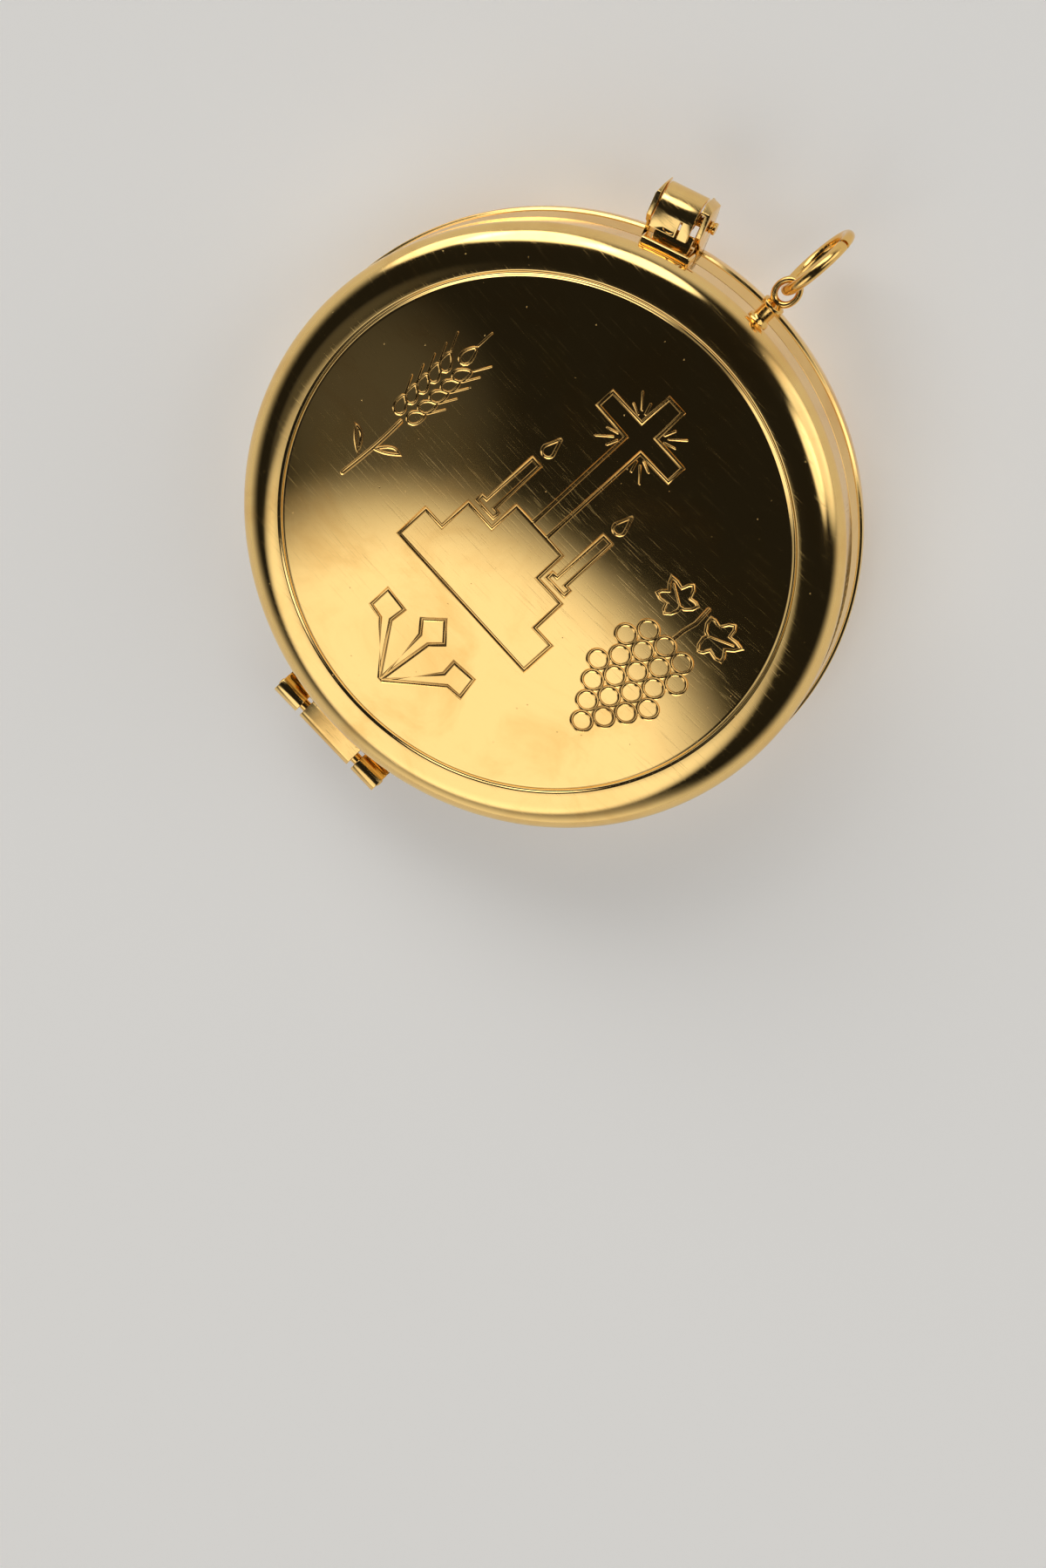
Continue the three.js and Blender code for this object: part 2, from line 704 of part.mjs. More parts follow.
function strikePlate() {
  const low = SEAM_Z + STRIKE_SEAM_CLEAR;
  const high = BELT_TOP_Z - STRIKE_TOP_CLEAR;
  const face = BELT_R + STRIKE_OUT;
  const tip = LIP_RHO + NOSE_BITE;
  const c = NOSE_CHAMFER;
  const plate = [
    v(BELT_R - 1, low),
    v(face, low),
    v(face, high - c),
    v(face - c, high),
    v(BELT_R - 1, high),
  ];
  const nose = [
    v(BELT_R, low),
    v(tip - c, low),
    v(tip, low + c),
    v(tip, low + NOSE_HEIGHT - c / 2),
    v(tip - c, low + NOSE_HEIGHT),
    v(face, low + NOSE_HEIGHT + c),
    v(BELT_R, low + NOSE_HEIGHT + c),
  ];
  const parts = [
    drawn(plate, -STRIKE_WIDTH / 2, STRIKE_WIDTH / 2),
    drawn(nose, -NOSE_WIDTH / 2, NOSE_WIDTH / 2),
  ];
  const slotTop = high - STRIKE_SLOT_TOP;
  const slotLow = slotTop - STRIKE_SLOT_HEIGHT;
  const floor = face - STRIKE_SLOT_DEPTH;
  const slot = [v(floor, slotLow), v(face + 1, slotLow), v(face + 1, slotTop), v(floor, slotTop)];
  const slotFrom = STRIKE_SLOT_AT - STRIKE_SLOT_WIDTH / 2;
  const r = STRIKE_HOLE_R;
  const hole = [v(0, floor), v(r, floor), v(r, face + 1), v(0, face + 1)];
  const tools = [
    drawn(slot, slotFrom, slotFrom + STRIKE_SLOT_WIDTH),
    outwardBar(hole, STRIKE_HOLE_AT, slotLow - r, 12),
    beltCutter(),
  ];
  return toGeometry(cut(joined(parts), tools));
}

// Ring and its eyelet

function ringEyelet() {
  const seat = BELT_R + SEAT_GAP;
  const collarEnd = BELT_R + EYE_STEM_OUT - EYE_END_WIRE_R / 2;
  const profile = [
    v(0, seat - 0.8),
    v(EYE_FOOT_R, seat - 0.8),
    v(EYE_FOOT_R, seat + 0.1),
    v((EYE_FOOT_R + EYE_STEM_R) / 2, seat + EYE_FOOT_LENGTH * 0.6),
    v(EYE_STEM_R, seat + EYE_FOOT_LENGTH),
    v(EYE_STEM_R, collarEnd - EYE_COLLAR_LENGTH),
    v(EYE_COLLAR_R, collarEnd - EYE_COLLAR_LENGTH + 0.1),
    v(EYE_COLLAR_R, collarEnd - 0.1),
    v(EYE_STEM_R, collarEnd),
    v(0, collarEnd),
  ];
  const eye = new THREE.TorusGeometry(EYE_MEAN_R, EYE_WIRE_R, 12, 36);
  eye.scale(EYE_STRETCH, EYE_SQUEEZE, 1);
  eye.translate(EYE_RHO, 0, EYE_Z);
  const solid = joined([outwardBar(profile, 0, EYE_Z, 20), eye]);
  return toGeometry(cut(solid, [beltCutter()]));
}

// The ring's centre line in its own plane, open at the split
class RingLine extends THREE.Curve {
  getPoint(share, target = new THREE.Vector3()) {
    const open = RING_SPLIT / RING_MEAN_R;
    const start = THREE.MathUtils.degToRad(RING_SPLIT_DEG) + open / 2;
    const angle = start + share * (2 * Math.PI - open);
    return target.set(RING_MEAN_R * Math.cos(angle), 0, RING_MEAN_R * Math.sin(angle));
  }
}

function bailRing() {
  const last = 360 - 360 / RING_SIDES;
  const section = new THREE.Shape(arc(0, 0, RING_WIRE_R, RING_WIRE_R, 0, last, RING_SIDES - 1));
  const options = { steps: 48, bevelEnabled: false, extrudePath: new RingLine() };
  return new THREE.ExtrudeGeometry(section, options);
}

// The ring hangs on the outer bar of the eye, leaning down and a little turned
function placedRing() {
  const ring = piece('bail_ring', bailRing(), WIRE);
  ring.rotation.set(THREE.MathUtils.degToRad(RING_TWIST_DEG), 0, 0);
  ring.position.set(RING_MEAN_R - RING_WIRE_R - EYE_END_WIRE_R - RING_PLAY, 0, 0);
  const lean = new THREE.Group();
  lean.position.set(EYE_BAR_RHO, 0, EYE_Z);
  lean.rotation.set(0, THREE.MathUtils.degToRad(RING_LEAN_DEG), 0);
  lean.add(ring);
  return lean;
}

// Assembly

function station(turn, pieces) {
  const group = new THREE.Group();
  group.rotation.z = turn;
  pieces.forEach((one) => group.add(one));
  return group;
}

const pyx = new THREE.Group();
pyx.add(
  piece('base_shell', baseShell(), POLISHED_BASE),
  piece('base_rim_ring', rimRing(), SATIN),
  piece('lid_shell', lidShell(), POLISHED),
  station(HINGE_TURN, [
    piece('base_hinge_leaf', baseHingeLeaf(), POLISHED),
    piece('lid_hinge_leaf', lidHingeLeaf(), POLISHED),
    piece('hinge_pin', hingePin(), SATIN),
  ]),
  station(CLASP_TURN, [
    piece('clasp_bracket', claspBracket(), POLISHED),
    piece('clasp_pin', claspPin(), WIRE),
    piece('clasp_spring', claspSpring(), STEEL),
    piece('clasp_lever', claspLever(), POLISHED),
    piece('strike_plate', strikePlate(), POLISHED),
  ]),
  station(EYE_TURN, [piece('ring_eyelet', ringEyelet(), WIRE), placedRing()]),
);

export default pyx;
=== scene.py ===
import math

import bpy
import numpy as np
from bpy.props import FloatProperty, FloatVectorProperty, IntProperty, PointerProperty
from bpy.types import Operator, Panel, PropertyGroup
from mathutils import Matrix, Vector
from mathutils.geometry import delaunay_2d_cdt


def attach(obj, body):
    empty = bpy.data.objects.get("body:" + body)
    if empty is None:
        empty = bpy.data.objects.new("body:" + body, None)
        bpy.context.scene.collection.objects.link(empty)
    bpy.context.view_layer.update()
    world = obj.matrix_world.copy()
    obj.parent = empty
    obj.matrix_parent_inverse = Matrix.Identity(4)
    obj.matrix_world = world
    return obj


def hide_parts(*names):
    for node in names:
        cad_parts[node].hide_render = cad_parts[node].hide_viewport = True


bl_info = {
    "name": "Gilt pocket pyx",
    "version": (1, 0, 0),
    "blender": (4, 5, 0),
    "location": "3D View > Sidebar > Pyx",
    "description": "Dresses a small hinged altar box in polished gilt brass with an engraved lid",
    "category": "Object",
}

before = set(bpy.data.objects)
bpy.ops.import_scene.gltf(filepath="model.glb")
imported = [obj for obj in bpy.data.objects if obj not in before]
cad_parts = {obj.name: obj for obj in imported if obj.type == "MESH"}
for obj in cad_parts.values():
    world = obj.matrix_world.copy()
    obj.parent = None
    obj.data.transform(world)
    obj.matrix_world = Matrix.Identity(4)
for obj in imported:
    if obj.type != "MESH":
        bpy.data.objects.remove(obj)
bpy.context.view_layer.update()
MM = 0.001
WELD = 0.0004 * MM

# Case, as the solids have it
OUTER_R = 27.0 * MM
BELT_R = 26.75 * MM
WALL = 0.8 * MM
INNER_R = BELT_R - WALL
SEAM_Z = 7.1 * MM
HALF_SEAM = 0.05 * MM
BASE_FLAT_R = 23.0 * MM
BASE_LINE_Z = 4.1 * MM
LID_LINE_Z = 9.95 * MM
LINE_LAND = 0.12 * MM
STEP_DOWN = 0.245 * MM
GROOVE_R = 23.0 * MM
GROOVE_Z = 12.3 * MM
GROOVE_HALF = 0.3 * MM
DOME_RISE = 2.3 * MM
DOME_BALL = (GROOVE_R ** 2 + DOME_RISE ** 2) / (2 * DOME_RISE)
DISC_R = 22.4 * MM
RIM_OUTER_R = INNER_R - 0.3 * MM
RIM_WALL = 0.6 * MM
RIM_TOP_Z = SEAM_Z + 1.0 * MM
RIM_LOW_Z = SEAM_Z - 2.4 * MM
SEAT_R = BELT_R + 0.02 * MM
GROOVE_LAND_R = 22.55 * MM
DOME_LIMIT_R = 22.6 * MM
GROOVE_STEPS = 7
ROLL_STEPS = 40
CORNER_STEPS = 36
COVE_STEPS = 14
CEILING_STEPS = 10
FLAT_STEPS = 6

# Edges, in degrees, then the eased corners: their least turn in radians and the most of a side they take
SMOOTH_ANGLE = 32.0
BEVEL_ANGLE = 35.0
LEAST_TURN = 0.25
EASE_SHARE = 0.45
NO_LENGTH = 1e-9

# Hinge
HINGE_RHO = BELT_R + 2.3 * MM
KNUCKLE_R = 1.0 * MM
LEAF_SHEET = 0.45 * MM
LEAF_BEND_R = 0.7 * MM
HINGE_PIN_R = 0.5 * MM
LID_KNUCKLE_HALF = 3.0 * MM
KNUCKLE_GAP = 0.5 * MM
BASE_KNUCKLE = 2.7 * MM
PIN_PROUD = 0.12 * MM
LEAF_FACE = BELT_R + 0.55 * MM
LID_PLATE_TOP = 9.605 * MM
BASE_PLATE_LOW = 4.445 * MM

# Clasp
CLASP_TURN = math.radians(111.0)
PIVOT_RHO = BELT_R + 3.3 * MM
PIVOT_Z = SEAM_Z - 0.25 * MM
LEVER_LEFT = 2.2 * MM
LEVER_RIGHT = 1.3 * MM
LEVER_SHEET = 0.5 * MM
ROLL_R = 2.15 * MM
LIP_RHO = PIVOT_RHO - 1.65 * MM
LIP_TOP_Z = PIVOT_Z + ROLL_R
LIP_UNDER_Z = LIP_TOP_Z - LEVER_SHEET
HOOK = 0.3 * MM
SLIT_LENGTH = 1.55 * MM
SLIT_SPAN = (-0.41 * MM, -0.19 * MM)
DENT_DEPTH = 0.14 * MM
TAIL_Z = PIVOT_Z - 2.65 * MM
TAIL_BACK = 0.4 * MM
WEB_SHEET = 0.45 * MM
WEB_EASE = 0.02 * MM
WEB_TURN = 122.0
BRACKET_FACE = BELT_R + 0.6 * MM
BRACKET_LOW_Z = 4.425 * MM
BRACKET_TOP_Z = SEAM_Z - 0.2 * MM
CHEEK_LEFT = LEVER_LEFT + 0.15 * MM
CHEEK_RIGHT = LEVER_RIGHT + 0.6 * MM
CHEEK_SHEET = 0.45 * MM
CHEEK_FAR = PIVOT_RHO + ROLL_R + 0.1 * MM
CHEEK_CORNER = 0.75 * MM
PAD_SHEET = 0.38 * MM
PAD_RHO = PIVOT_RHO + 1.25 * MM
CLASP_PIN_R = 0.45 * MM
CLASP_BORE_R = 0.5 * MM
PIN_HEAD_R = 0.56 * MM
PIN_HEAD = 0.55 * MM
SPRING_WIRE_R = 0.175 * MM
SPRING_COIL_R = 0.8 * MM
SPRING_PITCH = 0.87 * MM
SPRING_TURNS = 2.5
SPRING_STEPS = 28
SPRING_CLEAR = 0.13 * MM
SPRING_ARM = 0.8 * MM
SPRING_START = SPRING_CLEAR + SPRING_WIRE_R - CHEEK_RIGHT
SPRING_END = SPRING_START + SPRING_TURNS * SPRING_PITCH

# Strike plate
STRIKE_LOW_Z = SEAM_Z + 0.4 * MM
STRIKE_FACE = BELT_R + 0.85 * MM
STRIKE_HALF = 2.4 * MM
STRIKE_EASE = 0.28 * MM
NOSE_TIP = LIP_RHO + 0.42 * MM
NOSE_CORNER = 0.18 * MM
NOSE_HALF = 1.7 * MM
SLOT_HIGH = 0.45 * MM
SLOT_DEEP = 0.3 * MM
HOLE_R = 0.22 * MM

# Eyelet and ring
EYE_TURN = math.radians(90.0)
EYE_Z = LID_LINE_Z - 1.3 * MM
EYE_MEAN_R = 1.15 * MM
EYE_WIRE_R = 0.32 * MM
EYE_STRETCH = 1.1
EYE_SQUEEZE = 0.85
EYE_NEAR = BELT_R + 2.45 * MM
EYE_RHO = EYE_NEAR + EYE_MEAN_R * EYE_STRETCH
EYE_BAR_RHO = EYE_RHO + EYE_MEAN_R * EYE_STRETCH
# The eyelet's post: radius, then height above the belt or past the end of the collar, in millimetres
FOOT_PROFILE = ((0.0, -0.7), (1.0, -0.7), (1.0, 0.18), (0.92, 0.32), (0.8, 0.46), (0.75, 0.6))
COLLAR_PROFILE = ((0.75, -0.5), (1.05, -0.42), (1.05, -0.08), (0.75, 0.02), (0.45, 0.14), (0.0, 0.14))
RING_MEAN_R = 3.5 * MM
RING_WIRE_R = 0.488 * MM
RING_OUT = RING_MEAN_R - 0.6 * MM - EYE_WIRE_R * EYE_STRETCH
RING_LEAN = math.radians(38.0)
RING_TWIST = math.radians(8.0)
RING_SPLIT = 0.25 * MM
RING_SPLIT_AT = math.radians(62.0)

# Camera, as the photograph was taken
CAMERA_AT = Vector((5.3, 236.6, 604.3)) * MM
CAMERA_RIGHT = Vector((0.6913, 0.6682, -0.2750))
CAMERA_UP = Vector((-0.7224, 0.6313, -0.2821))
CAMERA_LENS = 170.1


def length_input(name, about, default, most, least=0.0):
    return FloatProperty(name=name, description=about, default=default * MM, min=least * MM, max=most * MM,
                         unit="LENGTH", precision=5)


def colour_input(name, about, default):
    return FloatVectorProperty(name=name, description=about, default=default, subtype="COLOR",
                               min=0.0, max=1.0)


def share_input(name, about, default):
    return FloatProperty(name=name, description=about, default=default, min=0.0, max=1.0, subtype="FACTOR")


class PyxSizes(PropertyGroup):
    steps: IntProperty(name="Steps round", description="Faces round each turned shell",
                       default=256, min=64, max=360)
    cut_width: length_input("Cut width", "Width of the engraved lines", 0.45, 0.8, 0.1)
    cut_depth: length_input("Cut depth", "Depth of the engraved lines", 0.13, 0.2)
    groove_depth: length_input("Groove depth", "Depth of the lid's round groove", 0.17, 0.3)
    edge: length_input("Edge ease", "Reach of the eased edges", 0.06, 0.2)
    emblem_turn: FloatProperty(name="Emblem turn", description="Turn of the emblem from the ring's axis",
                               default=math.radians(-1.5), min=-math.pi, max=math.pi, subtype="ANGLE")


class PyxFinish(PropertyGroup):
    gilt: colour_input("Gilt", "Colour of the polished gilding", (0.94, 0.64, 0.24))
    # Deep gilt colours the handling haze, and is also laid over every engraved cut as painted shade
    haze_and_cut_shade_gilt: colour_input("Deep gilt", "Colour of the hazed gilding", (0.83, 0.51, 0.165))
    # Cut gilt paints the hazed patches in the cuts darker still, partly as painted shade and partly as
    # patina, and colours the spring's haze
    deep_cut_shade_and_haze_gilt: colour_input("Cut gilt", "Colour of the haze in the cuts", (0.36, 0.20, 0.06))
    wire: colour_input("Wire", "Colour of the gilded wire and pins", (0.92, 0.58, 0.18))
    spring: colour_input("Spring", "Colour of the brassed spring wire", (0.66, 0.50, 0.26))
    polish: share_input("Polish roughness", "Roughness of the polished gilding", 0.075)
    satin: share_input("Satin roughness", "Roughness of the inside", 0.26)


class PyxStage(PropertyGroup):
    floor: colour_input("Floor", "Colour of the floor", (0.80, 0.79, 0.77))
    floor_glow: share_input("Floor lift", "Light that the floor adds to what is seen of it", 0.30)
    zenith: share_input("Overhead", "Brightness straight above", 0.014)
    horizon: share_input("Horizon", "Brightness all round", 0.62)


# Shaping by hand

def to_mode(mode):
    bpy.ops.object.mode_set(mode=mode)


def named(obj, name):
    obj.name = name
    obj.data.name = name
    return obj


def begin():
    if bpy.context.object and bpy.context.object.mode != "OBJECT":
        to_mode("OBJECT")
    bpy.ops.object.select_all(action="DESELECT")


def activate(obj):
    begin()
    obj.select_set(True)
    bpy.context.view_layer.objects.active = obj


def line(name, points):
    """A chain of points drawn in edit mode, one extrusion after another."""
    begin()
    bpy.ops.mesh.primitive_plane_add(size=MM, location=(0, 0, 0))
    obj = named(bpy.context.object, name)
    to_mode("EDIT")
    bpy.ops.mesh.merge(type="CENTER")
    bpy.ops.transform.translate(value=points[0])
    for a, b in zip(points, points[1:]):
        bpy.ops.mesh.extrude_vertices_move(TRANSFORM_OT_translate={"value": b - a})
    bpy.ops.mesh.select_all(action="SELECT")
    return obj


def close_up():
    bpy.ops.mesh.select_all(action="SELECT")
    bpy.ops.mesh.remove_doubles(threshold=WELD)
    bpy.ops.mesh.normals_make_consistent()
    to_mode("OBJECT")


def spun(name, points, steps, centre, axis):
    """A profile of points spun about an axis."""
    obj = line(name, points)
    bpy.ops.mesh.spin(steps=steps, angle=math.tau, center=centre, axis=axis)
    close_up()
    return obj


def turned(name, profile, steps):
    """A profile of (radius, height) turned about the upright axis."""
    points = [Vector((r, 0, z)) for r, z in profile]
    return spun(name, points, steps, (0, 0, 0), (0, 0, 1))


def tangent_bar(name, profile, rho, z, steps):
    """A profile of (radius, along) turned about a bar that lies along the tangent."""
    points = [Vector((rho + r, t, z)) for r, t in profile]
    return spun(name, points, steps, (rho, 0, z), (0, 1, 0))


def outward_bar(name, profile, t, z, steps):
    """A profile of (radius, outward) turned about a bar that points outward."""
    points = [Vector((rho, t, z + r)) for r, rho in profile]
    return spun(name, points, steps, (0, t, z), (1, 0, 0))


def extruded(name, points, move):
    """A closed outline filled and pushed along one direction."""
    obj = line(name, points + points[:1])
    bpy.ops.mesh.remove_doubles(threshold=WELD)
    bpy.ops.mesh.edge_face_add()
    bpy.ops.mesh.extrude_region_move(TRANSFORM_OT_translate={"value": move})
    close_up()
    return obj


def drawn(name, outline, start, end):
    """An outline of (outward, height) drawn along the tangent."""
    points = [Vector((rho, start, z)) for rho, z in outline]
    return extruded(name, points, (0, end - start, 0))


def raised(name, outline, low, high):
    """An outline of (outward, tangent) raised between two heights."""
    points = [Vector((x, y, low)) for x, y in outline]
    return extruded(name, points, (0, 0, high - low))


def oblong(near, low, far, high):
    return [(near, low), (far, low), (far, high), (near, high)]


def arc(cx, cy, rx, ry, start, end, steps):
    points = []
    for i in range(steps + 1):
        a = math.radians(start + (end - start) * i / steps)
        points.append((cx + rx * math.cos(a), cy + ry * math.sin(a)))
    return points


def eased(points, reach, steps=3):
    """Rounds each sharp corner of an open profile."""
    out = [points[0]]
    for before, at, after in zip(points, points[1:], points[2:]):
        b, p, a = Vector(before), Vector(at), Vector(after)
        into, away = p - b, a - p
        if min(into.length, away.length) < NO_LENGTH or into.angle(away) < LEAST_TURN:
            out.append(at)
            continue
        back = p - into.normalized() * min(reach, into.length * EASE_SHARE)
        ahead = p + away.normalized() * min(reach, away.length * EASE_SHARE)
        for i in range(steps + 1):
            s = i / steps
            out.append(tuple(back * (1 - s) ** 2 + p * 2 * s * (1 - s) + ahead * s * s))
    out.append(points[-1])
    return out


def join(name, parts):
    begin()
    for part in parts:
        part.select_set(True)
    bpy.context.view_layer.objects.active = parts[0]
    bpy.ops.object.join()
    return named(parts[0], name)


def use_modifier(obj, kind, **values):
    activate(obj)
    modifier = obj.modifiers.new(kind.lower(), kind)
    for key, value in values.items():
        setattr(modifier, key, value)
    bpy.ops.object.modifier_apply(modifier=modifier.name)


def bevelled(obj, width, segments):
    use_modifier(obj, "BEVEL", width=width, segments=segments, limit_method="ANGLE",
                 angle_limit=math.radians(BEVEL_ANGLE))


def cut(obj, *cutters):
    for cutter in cutters:
        use_modifier(obj, "BOOLEAN", operation="DIFFERENCE", solver="EXACT", object=cutter)
        bpy.data.objects.remove(cutter)


def belt_cutter():
    begin()
    bpy.ops.mesh.primitive_cylinder_add(vertices=256, radius=SEAT_R, depth=40 * MM, location=(0, 0, 0))
    return bpy.context.object


def place(obj, matrix):
    activate(obj)
    obj.matrix_world = matrix @ obj.matrix_world
    bpy.ops.object.transform_apply()


def add_finishes(obj, *looks):
    for look in looks:
        obj.data.materials.append(finish_named(look))


def finish_piece(obj, turn, body, node, slot, *looks, angle=SMOOTH_ANGLE):
    """Turns a piece to its station, smooths it, gives it its finishes and hands it to its body."""
    if turn:
        place(obj, Matrix.Rotation(turn, 4, "Z"))
    activate(obj)
    bpy.ops.object.shade_smooth_by_angle(angle=math.radians(angle))
    add_finishes(obj, *looks)
    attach(obj, body)
    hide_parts(node)


# Finishes

SCRATCH_ROUGHNESS = 0.12
PIT_DEPTH = 0.02
PATCHES_PER_MM = 0.12
RINGS_PER_MM = 6.0

# Colours and base roughness go by their names in PyxFinish, and depths are in millimetres
LOOKS = {
    "gilt_mirror": dict(haze_rough=0.05, mark_depth=0.0006, swell_depth=0.02),
    "gilt_case": dict(rougher=0.02, haze_rough=0.08, mark_depth=0.001, swell_depth=0.01),
    # The cuts' colours paint them darker than the polish: painted shade, partly standing for patina
    "gilt_cut": dict(bright="haze_and_cut_shade_gilt", dull="deep_cut_shade_and_haze_gilt", rougher=0.06, haze_rough=0.15, mark_depth=0.002),
    "gilt_fitting": dict(rougher=0.03, haze_rough=0.10, mark_depth=0.0015, swell_depth=0.004, fineness=1.8),
    "gilt_rod": dict(bright="wire", rougher=0.04, haze_rough=0.12, mark_depth=0.002, swell_depth=0.004,
                     fineness=2.2),
    "gilt_inside": dict(base="satin", haze_rough=0.12, mark_depth=0.002, ring_depth=0.004),
    "spring_brass": dict(bright="spring", dull="deep_cut_shade_and_haze_gilt", base="satin", rougher=-0.02, haze_rough=0.15,
                         mark_depth=0.002, fineness=3.0),
}


class Tree:
    """A node tree, filled from the first node to the last."""

    def __init__(self, tree):
        self.tree = tree

    def node(self, kind, feeds=None, **settings):
        """A new node's outputs. Each feed is a value for that input, or the socket that drives it."""
        node = self.tree.nodes.new("ShaderNode" + kind)
        for key, value in settings.items():
            setattr(node, key, value)
        for key, value in (feeds or {}).items():
            if isinstance(value, bpy.types.NodeSocket):
                self.tree.links.new(value, node.inputs[key])
            else:
                node.inputs[key].default_value = value
        return node.outputs

    def first(self, kind, feeds=None, **settings):
        """A new node's first output."""
        return self.node(kind, feeds, **settings)[0]

    def maths(self, operation, *values):
        return self.first("Math", dict(enumerate(values)), operation=operation)

    def ramp(self, value, low, high, to=(0.0, 1.0), kind="SMOOTHSTEP"):
        """A value carried from one span to another."""
        feeds = {"Value": value, "From Min": low, "From Max": high, "To Min": to[0], "To Max": to[1]}
        return self.first("MapRange", feeds, interpolation_type=kind)


def group_of(name, control, default, outputs, build):
    """A node group that takes a place and one control; build gives its outputs in order."""
    if name in bpy.data.node_groups:
        return bpy.data.node_groups[name]
    tree = bpy.data.node_groups.new(name, "ShaderNodeTree")
    tree.interface.new_socket(name="Vector", in_out="INPUT", socket_type="NodeSocketVector")
    dial = tree.interface.new_socket(name=control, in_out="INPUT", socket_type="NodeSocketFloat")
    dial.default_value = default
    for label in outputs:
        tree.interface.new_socket(name=label, in_out="OUTPUT", socket_type="NodeSocketFloat")
    start = tree.nodes.new("NodeGroupInput").outputs
    end = tree.nodes.new("NodeGroupOutput").inputs
    for label, socket in zip(outputs, build(Tree(tree), start["Vector"], start[control])):
        tree.links.new(socket, end[label])
    return tree


def marks(tree, vector, fineness):
    """Fine polishing scratches in two directions, as a mask."""
    masks = []
    for turn, low in ((0.5, 0.60), (-0.9, 0.63)):
        stretched = tree.first("Mapping", {"Vector": vector, "Rotation": (0.2, 0.1, turn),
                                           "Scale": (0.22, 9.0, 0.6)})
        noise = tree.first("TexNoise", {"Vector": stretched, "Scale": fineness, "Detail": 2.0,
                                        "Roughness": 0.6})
        masks.append(tree.ramp(noise, low, low + 0.12))
    return [tree.maths("MAXIMUM", *masks)]


def haze(tree, vector, per_mm):
    """Soft patches where hands have dulled the polish, tiny pits, and a slow swell."""
    patches = tree.first("TexNoise", {"Vector": vector, "Scale": per_mm, "Detail": 5.0, "Roughness": 0.62,
                                      "Distortion": 0.6})
    cells = tree.first("TexVoronoi", {"Vector": vector, "Scale": 0.9}, feature="F1")
    few = tree.first("TexNoise", {"Vector": vector, "Scale": 0.3, "Detail": 1.0})
    spots = tree.ramp(cells, 0.055, 0.035, kind="LINEAR")
    pits = tree.maths("MULTIPLY", spots, tree.ramp(few, 0.5, 0.6, kind="LINEAR"))
    swell = tree.first("TexNoise", {"Vector": vector, "Scale": 0.09, "Detail": 2.0})
    return [tree.ramp(patches, 0.42, 0.78), pits, swell]


def turning(tree, vector, rings):
    """Fine rings left by the lathe, about the upright axis."""
    flat = tree.first("VectorMath", {0: vector, 1: (1.0, 1.0, 0.0)}, operation="MULTIPLY")
    radius = tree.node("VectorMath", {0: flat}, operation="LENGTH")["Value"]
    along = tree.maths("MULTIPLY", radius, rings)
    return [tree.first("TexNoise", {"W": along, "Scale": 1.0, "Detail": 3.0}, noise_dimensions="1D")]


def new_material(name):
    material = bpy.data.materials.new(name)
    material.use_nodes = True
    material.node_tree.nodes.clear()
    return material


def metal(name, haze_rough, mark_depth, bright="gilt", dull="haze_and_cut_shade_gilt", base="polish", rougher=0.0,
          swell_depth=0.0, ring_depth=0.0, fineness=1.0):
    """Gilt metal with handling haze, polishing marks, pits and, if asked, turning rings."""
    chosen = bpy.context.scene.pyx_finish
    rough = getattr(chosen, base) + rougher
    material = new_material(name)
    tree = Tree(material.node_tree)
    coord = tree.node("TexCoord")["Object"]
    in_mm = tree.first("Mapping", {"Vector": coord, "Scale": (1 / MM, 1 / MM, 1 / MM)})
    hazed = group_of("handling_haze", "Patches per mm", PATCHES_PER_MM, ("Haze", "Pits", "Swell"), haze)
    scratched = group_of("polishing_marks", "Fineness", 1.0, ("Mask",), marks)
    wear = tree.node("Group", {"Vector": in_mm}, node_tree=hazed)
    scratches = tree.first("Group", {"Vector": in_mm, "Fineness": fineness}, node_tree=scratched)
    worn = tree.maths("MAXIMUM", wear["Haze"], wear["Pits"])
    # For the cuts both colours are darker than the polish, so this mix paints shade into them
    colours = {"A": (*getattr(chosen, bright), 1.0), "B": (*getattr(chosen, dull), 1.0)}
    colour = tree.node("Mix", {"Factor": worn, **colours}, data_type="RGBA")["Result"]
    smear = tree.ramp(worn, 0.0, 1.0, (rough, rough + haze_rough), kind="LINEAR")
    roughness = tree.maths("MULTIPLY_ADD", scratches, SCRATCH_ROUGHNESS, smear)
    heights = [(scratches, -mark_depth), (wear["Pits"], -PIT_DEPTH), (wear["Swell"], swell_depth)]
    if ring_depth:
        turned_marks = group_of("turning_rings", "Rings per mm", RINGS_PER_MM, ("Height",), turning)
        heights.append((tree.first("Group", {"Vector": in_mm}, node_tree=turned_marks), ring_depth))
    total = 0.0
    for socket, depth in heights:
        if depth:
            total = tree.maths("MULTIPLY_ADD", socket, depth, total)
    normal = tree.first("Bump", {"Height": total, "Strength": 1.0, "Distance": MM})
    shader = tree.first("BsdfPrincipled", {"Metallic": 1.0, "Base Color": colour, "Roughness": roughness,
                                           "Normal": normal})
    tree.node("OutputMaterial", {"Surface": shader})
    return material


def finish_named(name):
    """The named finish, made when it is first asked for."""
    return bpy.data.materials.get(name) or metal(name, **LOOKS[name])


# Lid

def dome_z(r, lift=0.0):
    return GROOVE_Z + DOME_RISE - DOME_BALL + math.sqrt(DOME_BALL ** 2 - r * r) + lift


def dome_normal(x, y):
    return Vector((x, y, math.sqrt(DOME_BALL ** 2 - x * x - y * y))) / DOME_BALL


